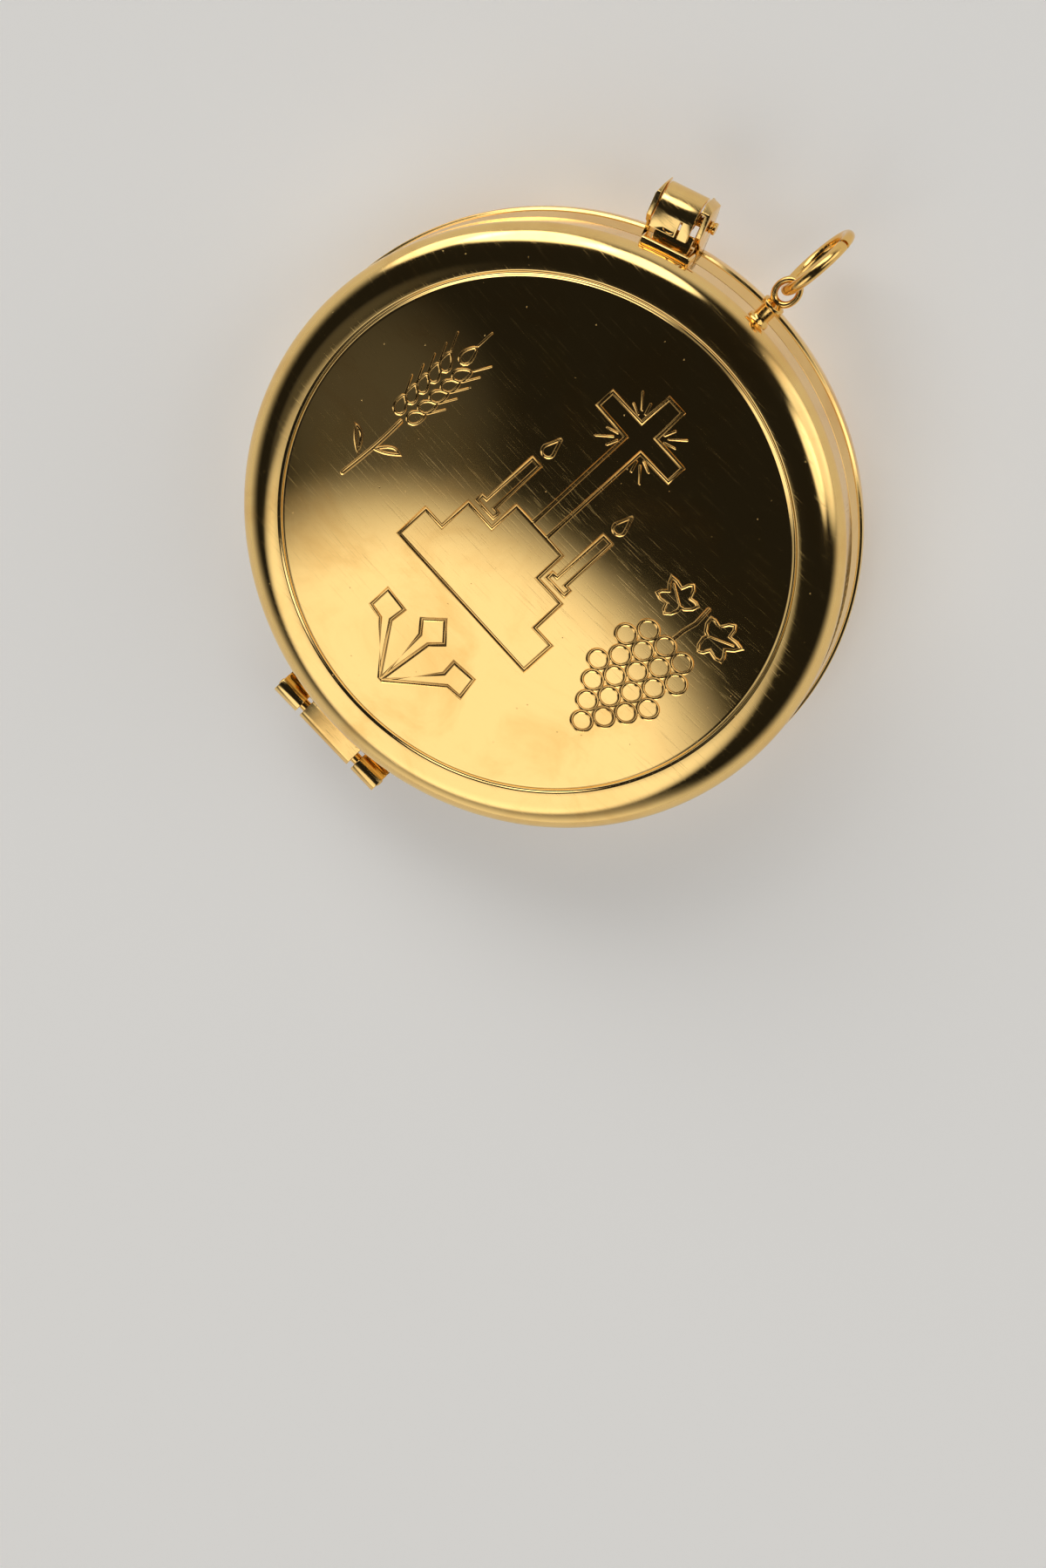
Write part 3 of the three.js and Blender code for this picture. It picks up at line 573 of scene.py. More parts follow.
def lid_profile(groove_depth, reach):
    outer = GROOVE_R + GROOVE_HALF
    top = dome_z(outer)
    low = SEAM_Z + HALF_SEAM
    under = LID_LINE_Z - LINE_LAND
    points = [(r, dome_z(r)) for r in (DISC_R, GROOVE_LAND_R)]
    for i in range(2 * GROOVE_STEPS + 1):
        s = -1 + i / GROOVE_STEPS
        r = GROOVE_R + s * GROOVE_HALF
        points.append((r, dome_z(r) - groove_depth * math.cos(s * math.pi / 2) ** 2))
    roll = arc(outer, LID_LINE_Z, OUTER_R - outer, top - LID_LINE_Z, 90, 0, ROLL_STEPS)[1:]
    rest = [(OUTER_R, under), (BELT_R, LID_LINE_Z - STEP_DOWN), (BELT_R, low), (INNER_R, low)]
    roof = arc(outer - WALL, under, INNER_R - outer + WALL, top - WALL - under, 0, 90, COVE_STEPS)
    spread = [i * roof[-1][0] / CEILING_STEPS for i in range(CEILING_STEPS - 1, -1, -1)]
    ceiling = [(r, dome_z(r, -WALL)) for r in spread]
    return points + roll[:-1] + eased([roll[-1], *rest, roof[1]], reach) + roof[2:] + ceiling


# Engraved emblem, in millimetres about the lid's centre with the cross upright

# Rails run along each cut at these shares of its half width, and the dome starts just inside the last
CUT_RAILS = (0.35, 0.7, 1.0)
CUT_RIM = 0.985

# Between the cuts the sheet has rows of points, clear of its edge and, in half widths, of the cuts
SHEET_PITCH = 1.5
SHEET_ROW = 0.87
SHEET_MARGIN = 0.8
SHEET_CLEAR = 2.2
SAME_POINT = 1e-5


def loop_of(points, weight=1.0):
    return points, True, weight


def stroke_of(points, weight=1.0):
    return points, False, weight


def mirrored(points):
    return [(-x, y) for x, y in points]


def cross_and_steps():
    """A cross with rays on three steps between two lit candles."""
    w = 0.88
    cross = [(-w, 1.4), (-w, 12.82), (-4.55, 12.82), (-4.55, 14.6), (-w, 14.6), (-w, 17.85),
             (w, 17.85), (w, 14.6), (4.35, 14.6), (4.35, 12.82), (w, 12.82), (w, 1.4)]
    side = [(2.9, 1.4), (2.9, -1.7), (5.9, -1.7), (5.9, -5.1), (8.0, -5.1), (8.0, -8.6)]
    strokes = [stroke_of(cross), loop_of(side + mirrored(side)[::-1])]
    half = [(1.05, -1.0), (1.05, -0.3), (0.5, -0.3), (0.5, 5.4)]
    for sign in (-1, 1):
        centre = 4.5 * sign
        outline = [(centre + x, y) for x, y in half] + [(centre + x, y) for x, y in mirrored(half)[::-1]]
        strokes.append(loop_of(outline))
        flame = []
        for i in range(18):
            a = math.tau * i / 18
            pinch = 1.0 if math.sin(a) < 0 else 1.0 - 0.75 * math.sin(a)
            rise = 1.5 if math.sin(a) > 0 else 0.6
            flame.append((centre + 0.55 * math.cos(a) * pinch, 6.9 + rise * math.sin(a)))
        strokes.append(loop_of(flame, 0.7))
    middle = 13.71
    rays = (((1.22, 1.66), (1.55, 2.6)), ((1.7, 1.7), (2.8, 2.8)), ((1.66, 1.22), (2.6, 1.55)))
    for sx in (-1, 1):
        for sy in (-1, 1):
            for near, far in rays:
                ends = [(x * sx, middle + y * sy) for x, y in (near, far)]
                strokes.append(stroke_of(ends, 0.55))
    return strokes


def three_nails():
    """Three nails that share one point."""
    tip = (0.25, -19.6)
    left = [(-3.75, -15.4), (-5.1, -15.2), (-5.1, -12.95), (-2.8, -13.1), (-2.95, -14.8)]
    middle = [(-0.28, -13.6), (-1.2, -12.45), (0.25, -10.8), (1.75, -12.5), (0.8, -13.7)]
    right = [(3.6, -14.5), (3.45, -13.0), (5.7, -12.75), (6.05, -14.95), (4.6, -15.1)]
    nails = ((-0.12, left), (0.0, middle), (0.12, right))
    return [loop_of([(tip[0] + shift, tip[1]), *head], 0.9) for shift, head in nails]


def grain_outline(cx, cy, turn, length, width, steps=14):
    points = []
    for i in range(steps):
        a = math.tau * i / steps
        along = math.cos(a) * length / 2
        across = math.sin(a) * width / 2 * (1.0 - 0.35 * math.cos(a))
        x = cx + along * math.cos(turn) - across * math.sin(turn)
        y = cy + along * math.sin(turn) + across * math.cos(turn)
        points.append((x, y))
    return points


def wheat_ear():
    """An ear of wheat with awns and two leaves on its stalk."""
    cx = -15.15
    strokes = [stroke_of([(cx + 0.25 * math.sin(i / 10 * 2.2), -9.0 + i * 0.74) for i in range(11)])]
    for row in range(5):
        y = -0.6 + row * 1.42
        for sign in (-1, 1):
            turn = math.radians(90 - sign * 24)
            x = cx + sign * 0.86
            rise = 0.35 if sign > 0 else 0.0
            strokes.append(loop_of(grain_outline(x, y + rise, turn, 1.75, 1.0), 0.65))
            tip = (x + math.cos(turn) * 1.1, y + rise + math.sin(turn) * 1.1)
            end = (tip[0] + sign * 0.75, tip[1] + 1.5)
            strokes.append(stroke_of([tip, end], 0.45))
    strokes.append(loop_of(grain_outline(cx, 7.0, math.radians(90), 1.9, 1.0), 0.65))
    strokes.append(stroke_of([(cx, 8.2), (cx, 9.9)], 0.45))
    for sign, foot in ((-1, -6.6), (1, -5.2)):
        leaf = []
        for i in range(16):
            s = 1 - abs(1 - i / 8)
            swell = (0.34 if i < 8 else -0.44) * math.sin(math.pi * s)
            leaf.append((cx + sign * (0.35 + 1.9 * s), foot + 2.6 * s - 1.1 * s * s + swell))
        strokes.append(loop_of(leaf, 0.75))
    return strokes


def vine_leaf(cx, cy, size, turn):
    """A five-lobed leaf with its midrib."""
    half = [(0, 1.15), (11, 0.9), (28, 0.6), (44, 0.86), (55, 1.0), (67, 0.82), (88, 0.52), (106, 0.74),
            (118, 0.85), (134, 0.66), (160, 0.42)]

    def at(degrees, reach):
        a = math.radians(degrees) + turn
        return (cx + size * reach * math.cos(a), cy + size * reach * math.sin(a))

    outline = [at(a, r) for a, r in half] + [at(180, 0.26)] + [at(-a, r) for a, r in half[:0:-1]]
    return [loop_of(outline, 0.75), stroke_of([at(180, 0.2), at(0, 0.8)], 0.5)]


def grape_bunch():
    """A bunch of grapes under two vine leaves."""
    cx = 14.6
    strokes = []
    for row, count in enumerate((3, 4, 3, 4, 3, 2, 1)):
        y = 2.4 - row * 1.74
        for k in range(count):
            x = cx + (k - (count - 1) / 2) * 2.02
            strokes.append(loop_of(arc(x, y, 0.91, 0.91, 0, 345, 23), 0.8))
    strokes.append(stroke_of([(cx, 3.5), (cx + 0.05, 4.6), (cx + 0.3, 5.9), (cx + 0.15, 7.6)]))
    strokes += vine_leaf(cx + 2.3, 6.1, 2.2, math.radians(25))
    strokes += vine_leaf(cx - 2.1, 6.2, 2.0, math.radians(150))
    return strokes


def offset_path(path, closed, distance):
    """The path moved sideways, with mitred corners of limited reach."""
    count = len(path)
    moved = []
    for i, here in enumerate(path):
        before = path[i - 1] if closed or i > 0 else None
        after = path[(i + 1) % count] if closed or i < count - 1 else None
        d1 = (here - before if before else after - here).normalized()
        d2 = (after - here).normalized() if after else d1
        n1, n2 = Vector((-d1.y, d1.x)), Vector((-d2.y, d2.x))
        middle = n1 + n2
        if middle.length < 0.2:
            middle = n1
        middle.normalize()
        scale = min(1.0 / max(middle.dot(n1), 0.3), 2.2)
        moved.append(here + middle * distance * scale)
    return moved


def round_end(end, before, reach):
    """Points that carry a rail round the end of an open cut, from its left side to its right."""
    ahead = (end - before).normalized() * reach
    left = Vector((-ahead.y, ahead.x))
    return [end + ahead * math.cos(a) + left * math.sin(a) for a in (math.pi / 4, 0.0, -math.pi / 4)]


def cut_rails(path, closed, half):
    """The lines along a cut that shape its section, as (points, closed)."""
    rails = [(path, closed)]
    for share in CUT_RAILS:
        reach = half * share
        left, right = offset_path(path, closed, reach), offset_path(path, closed, -reach)
        if closed:
            rails += [(left, True), (right, True)]
            continue
        far = round_end(path[-1], path[-2], reach)
        near = round_end(path[0], path[1], reach)
        rails.append((left + far + right[::-1] + near, True))
    return rails


def lid_emblem(strokes, turn, width, depth):
    """The lid's middle as one sheet whose cuts are real channels."""
    edge = DISC_R / MM
    cosine, sine = math.cos(turn), math.sin(turn)
    paths, starts, runs, weights = [], [], [], []
    for stroke, closed, weight in strokes:
        path = [Vector((x * cosine - y * sine, x * sine + y * cosine)) for x, y in stroke]
        paths.append((path, closed, weight))
        for a, b in zip(path, path[1:] + (path[:1] if closed else [])):
            starts.append(a)
            runs.append(b - a)
            weights.append(weight)
    starts, runs, weights = np.array(starts), np.array(runs), np.array(weights)
    halves = weights * width / MM / 2
    squares = np.maximum((runs ** 2).sum(1), 1e-12)

    def nearest(points):
        """Each point's distance from its nearest cut, as a share of the half width, and the cut's weight."""
        shares, owners = [], []
        for chunk in np.array_split(points, max(1, len(points) // 2000)):
            away = chunk[:, None] - starts
            along = np.clip((away * runs).sum(2) / squares, 0, 1)
            gap = away - along[..., None] * runs
            share = np.sqrt((gap ** 2).sum(2)) / halves
            shares.append(share.min(1))
            owners.append(share.argmin(1))
        return np.concatenate(shares), weights[np.concatenate(owners)]

    steps = bpy.context.scene.pyx_sizes.steps
    points = [Vector(p) for p in arc(0, 0, edge, edge, 0, 360, steps)[:-1]]
    edges = [(k, (k + 1) % steps) for k in range(steps)]
    for path, closed, weight in paths:
        for rail, loop in cut_rails(path, closed, weight * width / MM / 2):
            first = len(points)
            points += rail
            count = len(rail)
            edges += [(first + i, first + (i + 1) % count) for i in range(count if loop else count - 1)]
    rows = int(edge / SHEET_PITCH) + 1
    j, i = np.mgrid[-rows:rows + 1, -rows:rows + 1]
    grid = np.stack(((i + 0.5 * (j % 2)) * SHEET_PITCH, j * SHEET_PITCH * SHEET_ROW), -1).reshape(-1, 2)
    grid = grid[np.hypot(grid[:, 0], grid[:, 1]) < edge - SHEET_MARGIN]
    points += [Vector(p) for p in grid[nearest(grid)[0] > SHEET_CLEAR]]
    verts, _, faces, *_ = delaunay_2d_cdt(points, edges, [], 0, SAME_POINT)
    flat = np.array(verts)
    share, weight = nearest(flat)
    sink = np.where(share > CUT_RIM, 0.0, depth * weight * (1 - np.minimum(share, 1) ** 2))
    corners = [(x * MM, y * MM, dome_z(math.hypot(x, y) * MM) - s) for (x, y), s in zip(flat, sink)]
    middles = np.array([flat[face].mean(0) for face in faces])
    inside = nearest(middles)[0] < CUT_RIM
    mesh = bpy.data.meshes.new("lid_emblem")
    mesh.from_pydata(corners, [], faces)
    mesh.update()
    # Faces in the cuts take the second finish, whose darker colours are painted shade
    mesh.polygons.foreach_set("material_index", inside.astype(np.int32))
    obj = bpy.data.objects.new("lid_emblem", mesh)
    bpy.context.scene.collection.objects.link(obj)
    return obj


def mark_cut_edges(obj):
    """Keeps the rim of each cut crisp and gives the dome its true normals."""
    mesh = obj.data
    owners = {}
    for polygon in mesh.polygons:
        for key in polygon.edge_keys:
            owners.setdefault(key, set()).add(polygon.material_index)
    for one in mesh.edges:
        if 1 in owners[one.key] and len(owners[one.key]) == 2:
            one.use_edge_sharp = True
    mesh.update()
    normals = [Vector(c.vector) for c in mesh.corner_normals]
    low = GROOVE_Z - 0.2 * MM
    for polygon in mesh.polygons:
        at = polygon.center
        if polygon.material_index != 0 or at.z < low or math.hypot(at.x, at.y) > DOME_LIMIT_R:
            continue
        for loop in polygon.loop_indices:
            co = mesh.vertices[mesh.loops[loop].vertex_index].co
            if math.hypot(co.x, co.y) < DOME_LIMIT_R:
                normals[loop] = dome_normal(co.x, co.y)
    mesh.normals_split_custom_set(normals)


class PYX_OT_lid(Operator):
    """Turns the lid and cuts its groove and its emblem"""

    bl_idname = "pyx.lid"
    bl_label = "Lid"

    def execute(self, context):
        s = context.scene.pyx_sizes
        shell = turned("lid_gilt", lid_profile(s.groove_depth, s.edge), s.steps)
        strokes = cross_and_steps() + three_nails() + wheat_ear() + grape_bunch()
        emblem = lid_emblem(strokes, s.emblem_turn, s.cut_width, s.cut_depth)
        add_finishes(shell, "gilt_mirror", "gilt_cut", "gilt_inside")
        add_finishes(emblem, "gilt_mirror", "gilt_cut")
        for polygon in shell.data.polygons:
            c = polygon.center
            if polygon.normal.z < 0.3 and math.hypot(c.x, c.y) < BELT_R - 0.3 * MM:
                polygon.material_index = 2
        lid = join("lid_gilt", [shell, emblem])
        activate(lid)
        to_mode("EDIT")
        bpy.ops.mesh.select_all(action="SELECT")
        bpy.ops.mesh.remove_doubles(threshold=0.001 * MM)
        to_mode("OBJECT")
        finish_piece(lid, 0.0, "lid", "lid_shell", "gilt_polished")
        mark_cut_edges(lid)
        return {"FINISHED"}


class PYX_OT_base(Operator):
    """Turns the base shell and the locating ring inside it"""

    bl_idname = "pyx.base"
    bl_label = "Base"

    def execute(self, context):
        s = context.scene.pyx_sizes
        high = SEAM_Z - HALF_SEAM
        over = BASE_LINE_Z + LINE_LAND
        corner = arc(BASE_FLAT_R, BASE_LINE_Z, OUTER_R - BASE_FLAT_R, BASE_LINE_Z, -90, 0, CORNER_STEPS)
        cove = arc(BASE_FLAT_R, over, INNER_R - BASE_FLAT_R, over - WALL, 0, -90, COVE_STEPS)
        rest = [(OUTER_R, over), (BELT_R, BASE_LINE_Z + STEP_DOWN), (BELT_R, high), (INNER_R, high)]
        spread = [i * BASE_FLAT_R / FLAT_STEPS for i in range(FLAT_STEPS)]
        bottom = [(r, 0.0) for r in spread]
        floor = [(r, WALL) for r in reversed(spread)]
        profile = bottom + corner[:-1] + eased([corner[-1], *rest, cove[1]], s.edge) + cove[2:] + floor
        shell = turned("base_gilt", profile, s.steps)
        finish_piece(shell, 0.0, "case", "base_shell", "gilt_polished", "gilt_case", "gilt_inside")
        for polygon in shell.data.polygons:
            c, n = polygon.center, polygon.normal
            r = math.hypot(c.x, c.y)
            inward = r < BASE_FLAT_R or n.x * c.x + n.y * c.y < 0
            if inward and r < INNER_R and c.z > WALL * 0.5 and n.z > -0.2:
                polygon.material_index = 1
        lead = 0.2 * MM
        inner = RIM_OUTER_R - RIM_WALL
        section = [(inner, RIM_LOW_Z + lead), (inner + lead, RIM_LOW_Z), (RIM_OUTER_R, RIM_LOW_Z),
                   (RIM_OUTER_R, RIM_TOP_Z - lead), (RIM_OUTER_R - lead, RIM_TOP_Z), (inner, RIM_TOP_Z)]
        ring = turned("rim_gilt", eased(section + section[:1], s.edge), s.steps)
        finish_piece(ring, 0.0, "case", "base_rim_ring", "gilt_satin", "gilt_inside")
        return {"FINISHED"}


# Hinge

def knuckle_outline(side):
    """Section of one rolled knuckle with the bent sheet that carries it out from the plate."""
    bore = HINGE_PIN_R + 0.05 * MM
    shelf = KNUCKLE_R - LEAF_SHEET
    bend_x = LEAF_FACE - HINGE_RHO + LEAF_BEND_R
    bend_z = KNUCKLE_R + LEAF_BEND_R
    bend = arc(bend_x, bend_z, LEAF_BEND_R, LEAF_BEND_R, 180, 270, 12)
    roll = arc(0, 0, KNUCKLE_R, KNUCKLE_R, 90, -206, 44)
    back = arc(0, 0, bore, bore, -206, 90, 36)
    near = BELT_R - 0.2 * MM - HINGE_RHO
    outline = [(near, bend_z), *bend, *roll, *back, (near, shelf)]
    return [(HINGE_RHO + x, SEAM_Z + side * z) for x, z in outline]


def leaf_plate(name, side, half):
    edge_z = LID_PLATE_TOP if side > 0 else BASE_PLATE_LOW
    level = SEAM_Z + side * (KNUCKLE_R - LEAF_SHEET)
    corner = 0.5 * MM
    outline = [(-half, level), (half, level), (half, edge_z - side * corner), (half - corner, edge_z),
               (corner - half, edge_z), (-half, edge_z - side * corner)]
    start = BELT_R - MM
    return extruded(name, [Vector((start, t, z)) for t, z in outline], (LEAF_FACE - start, 0, 0))


class PYX_OT_hinge(Operator):
    """Rolls the hinge's knuckles from sheet and pins them"""

    bl_idname = "pyx.hinge"
    bl_label = "Hinge"

    def execute(self, context):
        s = context.scene.pyx_sizes
        turn = -math.pi / 2
        inner = LID_KNUCKLE_HALF + KNUCKLE_GAP
        outer = inner + BASE_KNUCKLE
        spans = {1: [(-LID_KNUCKLE_HALF, LID_KNUCKLE_HALF)], -1: [(-outer, -inner), (inner, outer)]}
        for side, name, body, node in ((1, "lid_leaf_gilt", "lid", "lid_hinge_leaf"),
                                       (-1, "base_leaf_gilt", "case", "base_hinge_leaf")):
            half = spans[side][-1][1]
            parts = [leaf_plate(name, side, half)]
            for start, end in spans[side]:
                parts.append(drawn(name + "_knuckle", knuckle_outline(side), start, end))
            for part in parts:
                bevelled(part, s.edge, 3)
                cut(part, belt_cutter())
            leaf = join(name, parts)
            finish_piece(leaf, turn, body, node, "gilt_polished", "gilt_fitting")
        half = outer + PIN_PROUD
        r, lead = HINGE_PIN_R, 0.25 * MM
        profile = [(0, -half), (r * 0.55, -half), (r, lead - half), (r, half - lead), (r * 0.55, half),
                   (0, half)]
        pin = tangent_bar("hinge_pin_gilt", eased(profile, 0.12 * MM), HINGE_RHO, SEAM_Z, 48)
        finish_piece(pin, turn, "case", "hinge_pin", "gilt_satin", "gilt_rod")
        return {"FINISHED"}


# Clasp

def lever_outline():
    """Section of the lever's sheet: lip with hook, roll over the pivot and thumb tail."""
    r = ROLL_R - LEVER_SHEET
    outside = arc(PIVOT_RHO, PIVOT_Z, ROLL_R, ROLL_R, 90, -45, 36)
    inside = arc(PIVOT_RHO, PIVOT_Z, r, r, -45, 90, 30)
    tail = outside[-1][0] - TAIL_BACK
    return [(LIP_RHO, LIP_UNDER_Z - HOOK), (LIP_RHO, LIP_TOP_Z), *outside,
            (tail, TAIL_Z), (tail - LEVER_SHEET, TAIL_Z), *inside,
            (LIP_RHO + 2 * HOOK, LIP_UNDER_Z), (LIP_RHO + HOOK, LIP_UNDER_Z - HOOK)]


def cheek_outline():
    back = BELT_R - 0.6 * MM
    c = CHEEK_CORNER
    return [(back, BRACKET_LOW_Z), (PIVOT_RHO - ROLL_R, BRACKET_LOW_Z), (PIVOT_RHO + c, BRACKET_LOW_Z + c),
            (CHEEK_FAR, PIVOT_Z - c), (CHEEK_FAR, LIP_TOP_Z - c), (CHEEK_FAR - c, LIP_TOP_Z),
            (PIVOT_RHO - c, LIP_TOP_Z), (PIVOT_RHO - 2 * c, LIP_TOP_Z - c),
            (PIVOT_RHO - 2.6 * c, BRACKET_TOP_Z + c / 2), (PIVOT_RHO - 3.2 * c, BRACKET_TOP_Z),
            (back, BRACKET_TOP_Z)]


def pad_outline():
    c = CHEEK_CORNER
    return [(PAD_RHO, PIVOT_Z - c), (CHEEK_FAR, PIVOT_Z - c), (CHEEK_FAR, LIP_TOP_Z - c),
            (CHEEK_FAR - c, LIP_TOP_Z), (PAD_RHO, LIP_TOP_Z)]


def cheek_slant(side, outer, length, inset):
    """Cuts the far end of a cheek at a slant in plan."""
    near, past = CHEEK_FAR - length, CHEEK_FAR + MM
    plan = [(near, outer), (CHEEK_FAR, outer - inset), (past, outer - inset), (past, outer + MM),
            (near, outer + MM)]
    return raised("slant", [(x, side * y) for x, y in plan], 2 * MM, 12 * MM)


def clasp_hole(start, end):
    return tangent_bar("hole", oblong(0, start, CLASP_BORE_R, end), PIVOT_RHO, PIVOT_Z, 40)


def clasp_lever(edge):
    lever = drawn("clasp_lever_gilt", lever_outline(), -LEVER_RIGHT, LEVER_LEFT)
    through = oblong(LIP_RHO - MM, LIP_UNDER_Z - MM, LIP_RHO + SLIT_LENGTH, LIP_TOP_Z + MM)
    slit = drawn("slit", through, *SLIT_SPAN)
    thumbnail = arc(LIP_RHO + 0.45 * MM, 0.5 * MM, 0.3 * MM, 0.52 * MM, 90, 270, 24)
    dent = raised("dent", thumbnail, LIP_TOP_Z - DENT_DEPTH, LIP_TOP_Z + MM)
    cut(lever, slit, dent)
    bevelled(lever, edge, 3)
    r = ROLL_R - LEVER_SHEET / 2
    parts = [lever]
    for start in (SPRING_END + SPRING_WIRE_R + SPRING_CLEAR, LEVER_LEFT - WEB_SHEET + WEB_EASE):
        end = start + WEB_SHEET - 2 * WEB_EASE
        web = drawn("web", arc(PIVOT_RHO, PIVOT_Z, r, r, -WEB_TURN, WEB_TURN, 48), start, end)
        cut(web, clasp_hole(start - MM, end + MM))
        parts.append(web)
    return join("clasp_lever_gilt", parts)


def clasp_bracket(edge):
    left, right = CHEEK_LEFT + CHEEK_SHEET, CHEEK_RIGHT + CHEEK_SHEET
    back = oblong(BELT_R - 0.8 * MM, BRACKET_LOW_Z, BRACKET_FACE, BRACKET_TOP_Z)
    plate = drawn("clasp_bracket_gilt", back, -right, left)
    left_cheek = drawn("cheek", cheek_outline(), CHEEK_LEFT, left)
    right_cheek = drawn("cheek", cheek_outline(), -right, -CHEEK_RIGHT)
    pad = drawn("pad", pad_outline(), -CHEEK_RIGHT - 0.2 * MM, PAD_SHEET - CHEEK_RIGHT)
    use_modifier(right_cheek, "BOOLEAN", operation="UNION", solver="EXACT", object=pad)
    bpy.data.objects.remove(pad)
    cut(left_cheek, clasp_hole(CHEEK_LEFT - MM, left + MM), cheek_slant(1, left, MM, 0.32 * MM))
    cut(right_cheek, clasp_hole(-right - MM, MM - CHEEK_RIGHT), cheek_slant(-1, right, 0.45 * MM, 0.75 * MM))
    parts = [plate, left_cheek, right_cheek]
    for part in parts:
        bevelled(part, edge, 3)
        cut(part, belt_cutter())
    return join("clasp_bracket_gilt", parts)


def clasp_pin():
    """Riveted flush on the left, with a turned head that stands out on the right."""
    seat = -(CHEEK_RIGHT + CHEEK_SHEET + 0.05 * MM)
    end = CHEEK_LEFT + CHEEK_SHEET + 0.06 * MM
    neck = seat - 0.2 * MM
    profile = [(0, seat - PIN_HEAD), (PIN_HEAD_R, seat - PIN_HEAD), (PIN_HEAD_R, neck - 0.08 * MM),
               (CLASP_PIN_R, neck), (PIN_HEAD_R, neck + 0.08 * MM), (PIN_HEAD_R, seat), (CLASP_PIN_R, seat),
               (CLASP_PIN_R, end), (0, end)]
    return tangent_bar("clasp_pin_gilt", eased(profile, 0.1 * MM), PIVOT_RHO, PIVOT_Z, 40)


class PYX_OT_clasp(Operator):
    """Rolls the sprung clasp lever and sets it between its cheeks"""

    bl_idname = "pyx.clasp"
    bl_label = "Clasp"

    def execute(self, context):
        edge = context.scene.pyx_sizes.edge
        lever, bracket = clasp_lever(edge), clasp_bracket(edge)
        finish_piece(lever, CLASP_TURN, "clasp", "clasp_lever", "gilt_polished", "gilt_fitting")
        finish_piece(bracket, CLASP_TURN, "case", "clasp_bracket", "gilt_polished", "gilt_fitting")
        finish_piece(clasp_pin(), CLASP_TURN, "case", "clasp_pin", "gilt_wire", "gilt_rod")
        return {"FINISHED"}


class PYX_OT_spring(Operator):
    """Winds the clasp's torsion spring about its pin"""

    bl_idname = "pyx.spring"
    bl_label = "Spring"

    def execute(self, context):
        start, run = SPRING_START, SPRING_END - SPRING_START
        low, high = PIVOT_Z - SPRING_COIL_R, PIVOT_Z + SPRING_COIL_R
        seat = BRACKET_FACE + SPRING_WIRE_R
        points = [((seat * (3 - i) + PIVOT_RHO * i) / 3, start, low) for i in range(3)]
        steps = int(SPRING_TURNS * SPRING_STEPS)
        for i in range(steps + 1):
            a = -math.pi / 2 + math.tau * SPRING_TURNS * i / steps
            points.append((PIVOT_RHO + SPRING_COIL_R * math.cos(a), start + run * i / steps,
                           PIVOT_Z + SPRING_COIL_R * math.sin(a)))
        tip = LIP_UNDER_Z - SPRING_CLEAR - SPRING_WIRE_R
        arm = ((PIVOT_RHO - SPRING_ARM / 2, high), (PIVOT_RHO - SPRING_ARM, tip))
        points += [(rho, SPRING_END, z) for rho, z in arm]
        begin()
        curve = bpy.data.curves.new("spring_wire", "CURVE")
        curve.dimensions = "3D"
        curve.bevel_depth = SPRING_WIRE_R
        curve.bevel_resolution = 4
        curve.use_fill_caps = True
        spline = curve.splines.new("POLY")
        spline.points.add(len(points) - 1)
        for one, co in zip(spline.points, points):
            one.co = (*co, 1.0)
        wire = bpy.data.objects.new("clasp_spring_wire", curve)
        context.scene.collection.objects.link(wire)
        activate(wire)
        bpy.ops.object.convert(target="MESH")
        wire = context.object
        to_mode("EDIT")
        close_up()
        finish_piece(wire, CLASP_TURN, "case", "clasp_spring", "spring_wire", "spring_brass", angle=50.0)
        return {"FINISHED"}


class PYX_OT_strike(Operator):
    """Makes the plate with the nose that the clasp's lip catches"""

    bl_idname = "pyx.strike"
    bl_label = "Strike plate"

    def execute(self, context):
        root, low, high = BELT_R - 0.8 * MM, STRIKE_LOW_Z, LID_PLATE_TOP
        past = STRIKE_FACE + MM
        plate = drawn("strike_gilt", oblong(root, low, STRIKE_FACE, high), -STRIKE_HALF, STRIKE_HALF)
        bevelled(plate, STRIKE_EASE, 5)
        behind = NOSE_TIP - NOSE_CORNER
        section = [(root, low), (behind, low), (NOSE_TIP, low + NOSE_CORNER), (NOSE_TIP, low + 0.36 * MM),
                   (behind, low + 0.45 * MM), (STRIKE_FACE, low + 0.63 * MM), (root, low + 0.63 * MM)]
        nose = drawn("nose", section, -NOSE_HALF, NOSE_HALF)
        bevelled(nose, context.scene.pyx_sizes.edge, 2)
        slot_top = high - 0.4 * MM
        slot_low = slot_top - SLOT_HIGH
        floor = STRIKE_FACE - SLOT_DEEP
        slot = drawn("slot", oblong(floor, slot_low, past, slot_top), -0.6 * MM, 1.1 * MM)
        bevelled(slot, 0.1 * MM, 3)
        hole = outward_bar("hole", oblong(0, floor, HOLE_R, past), -0.85 * MM, slot_low - HOLE_R, 32)
        cut(plate, slot, hole, belt_cutter())
        cut(nose, belt_cutter())
        strike = join("strike_gilt", [plate, nose])
        finish_piece(strike, CLASP_TURN, "lid", "strike_plate", "gilt_polished", "gilt_fitting")
        return {"FINISHED"}


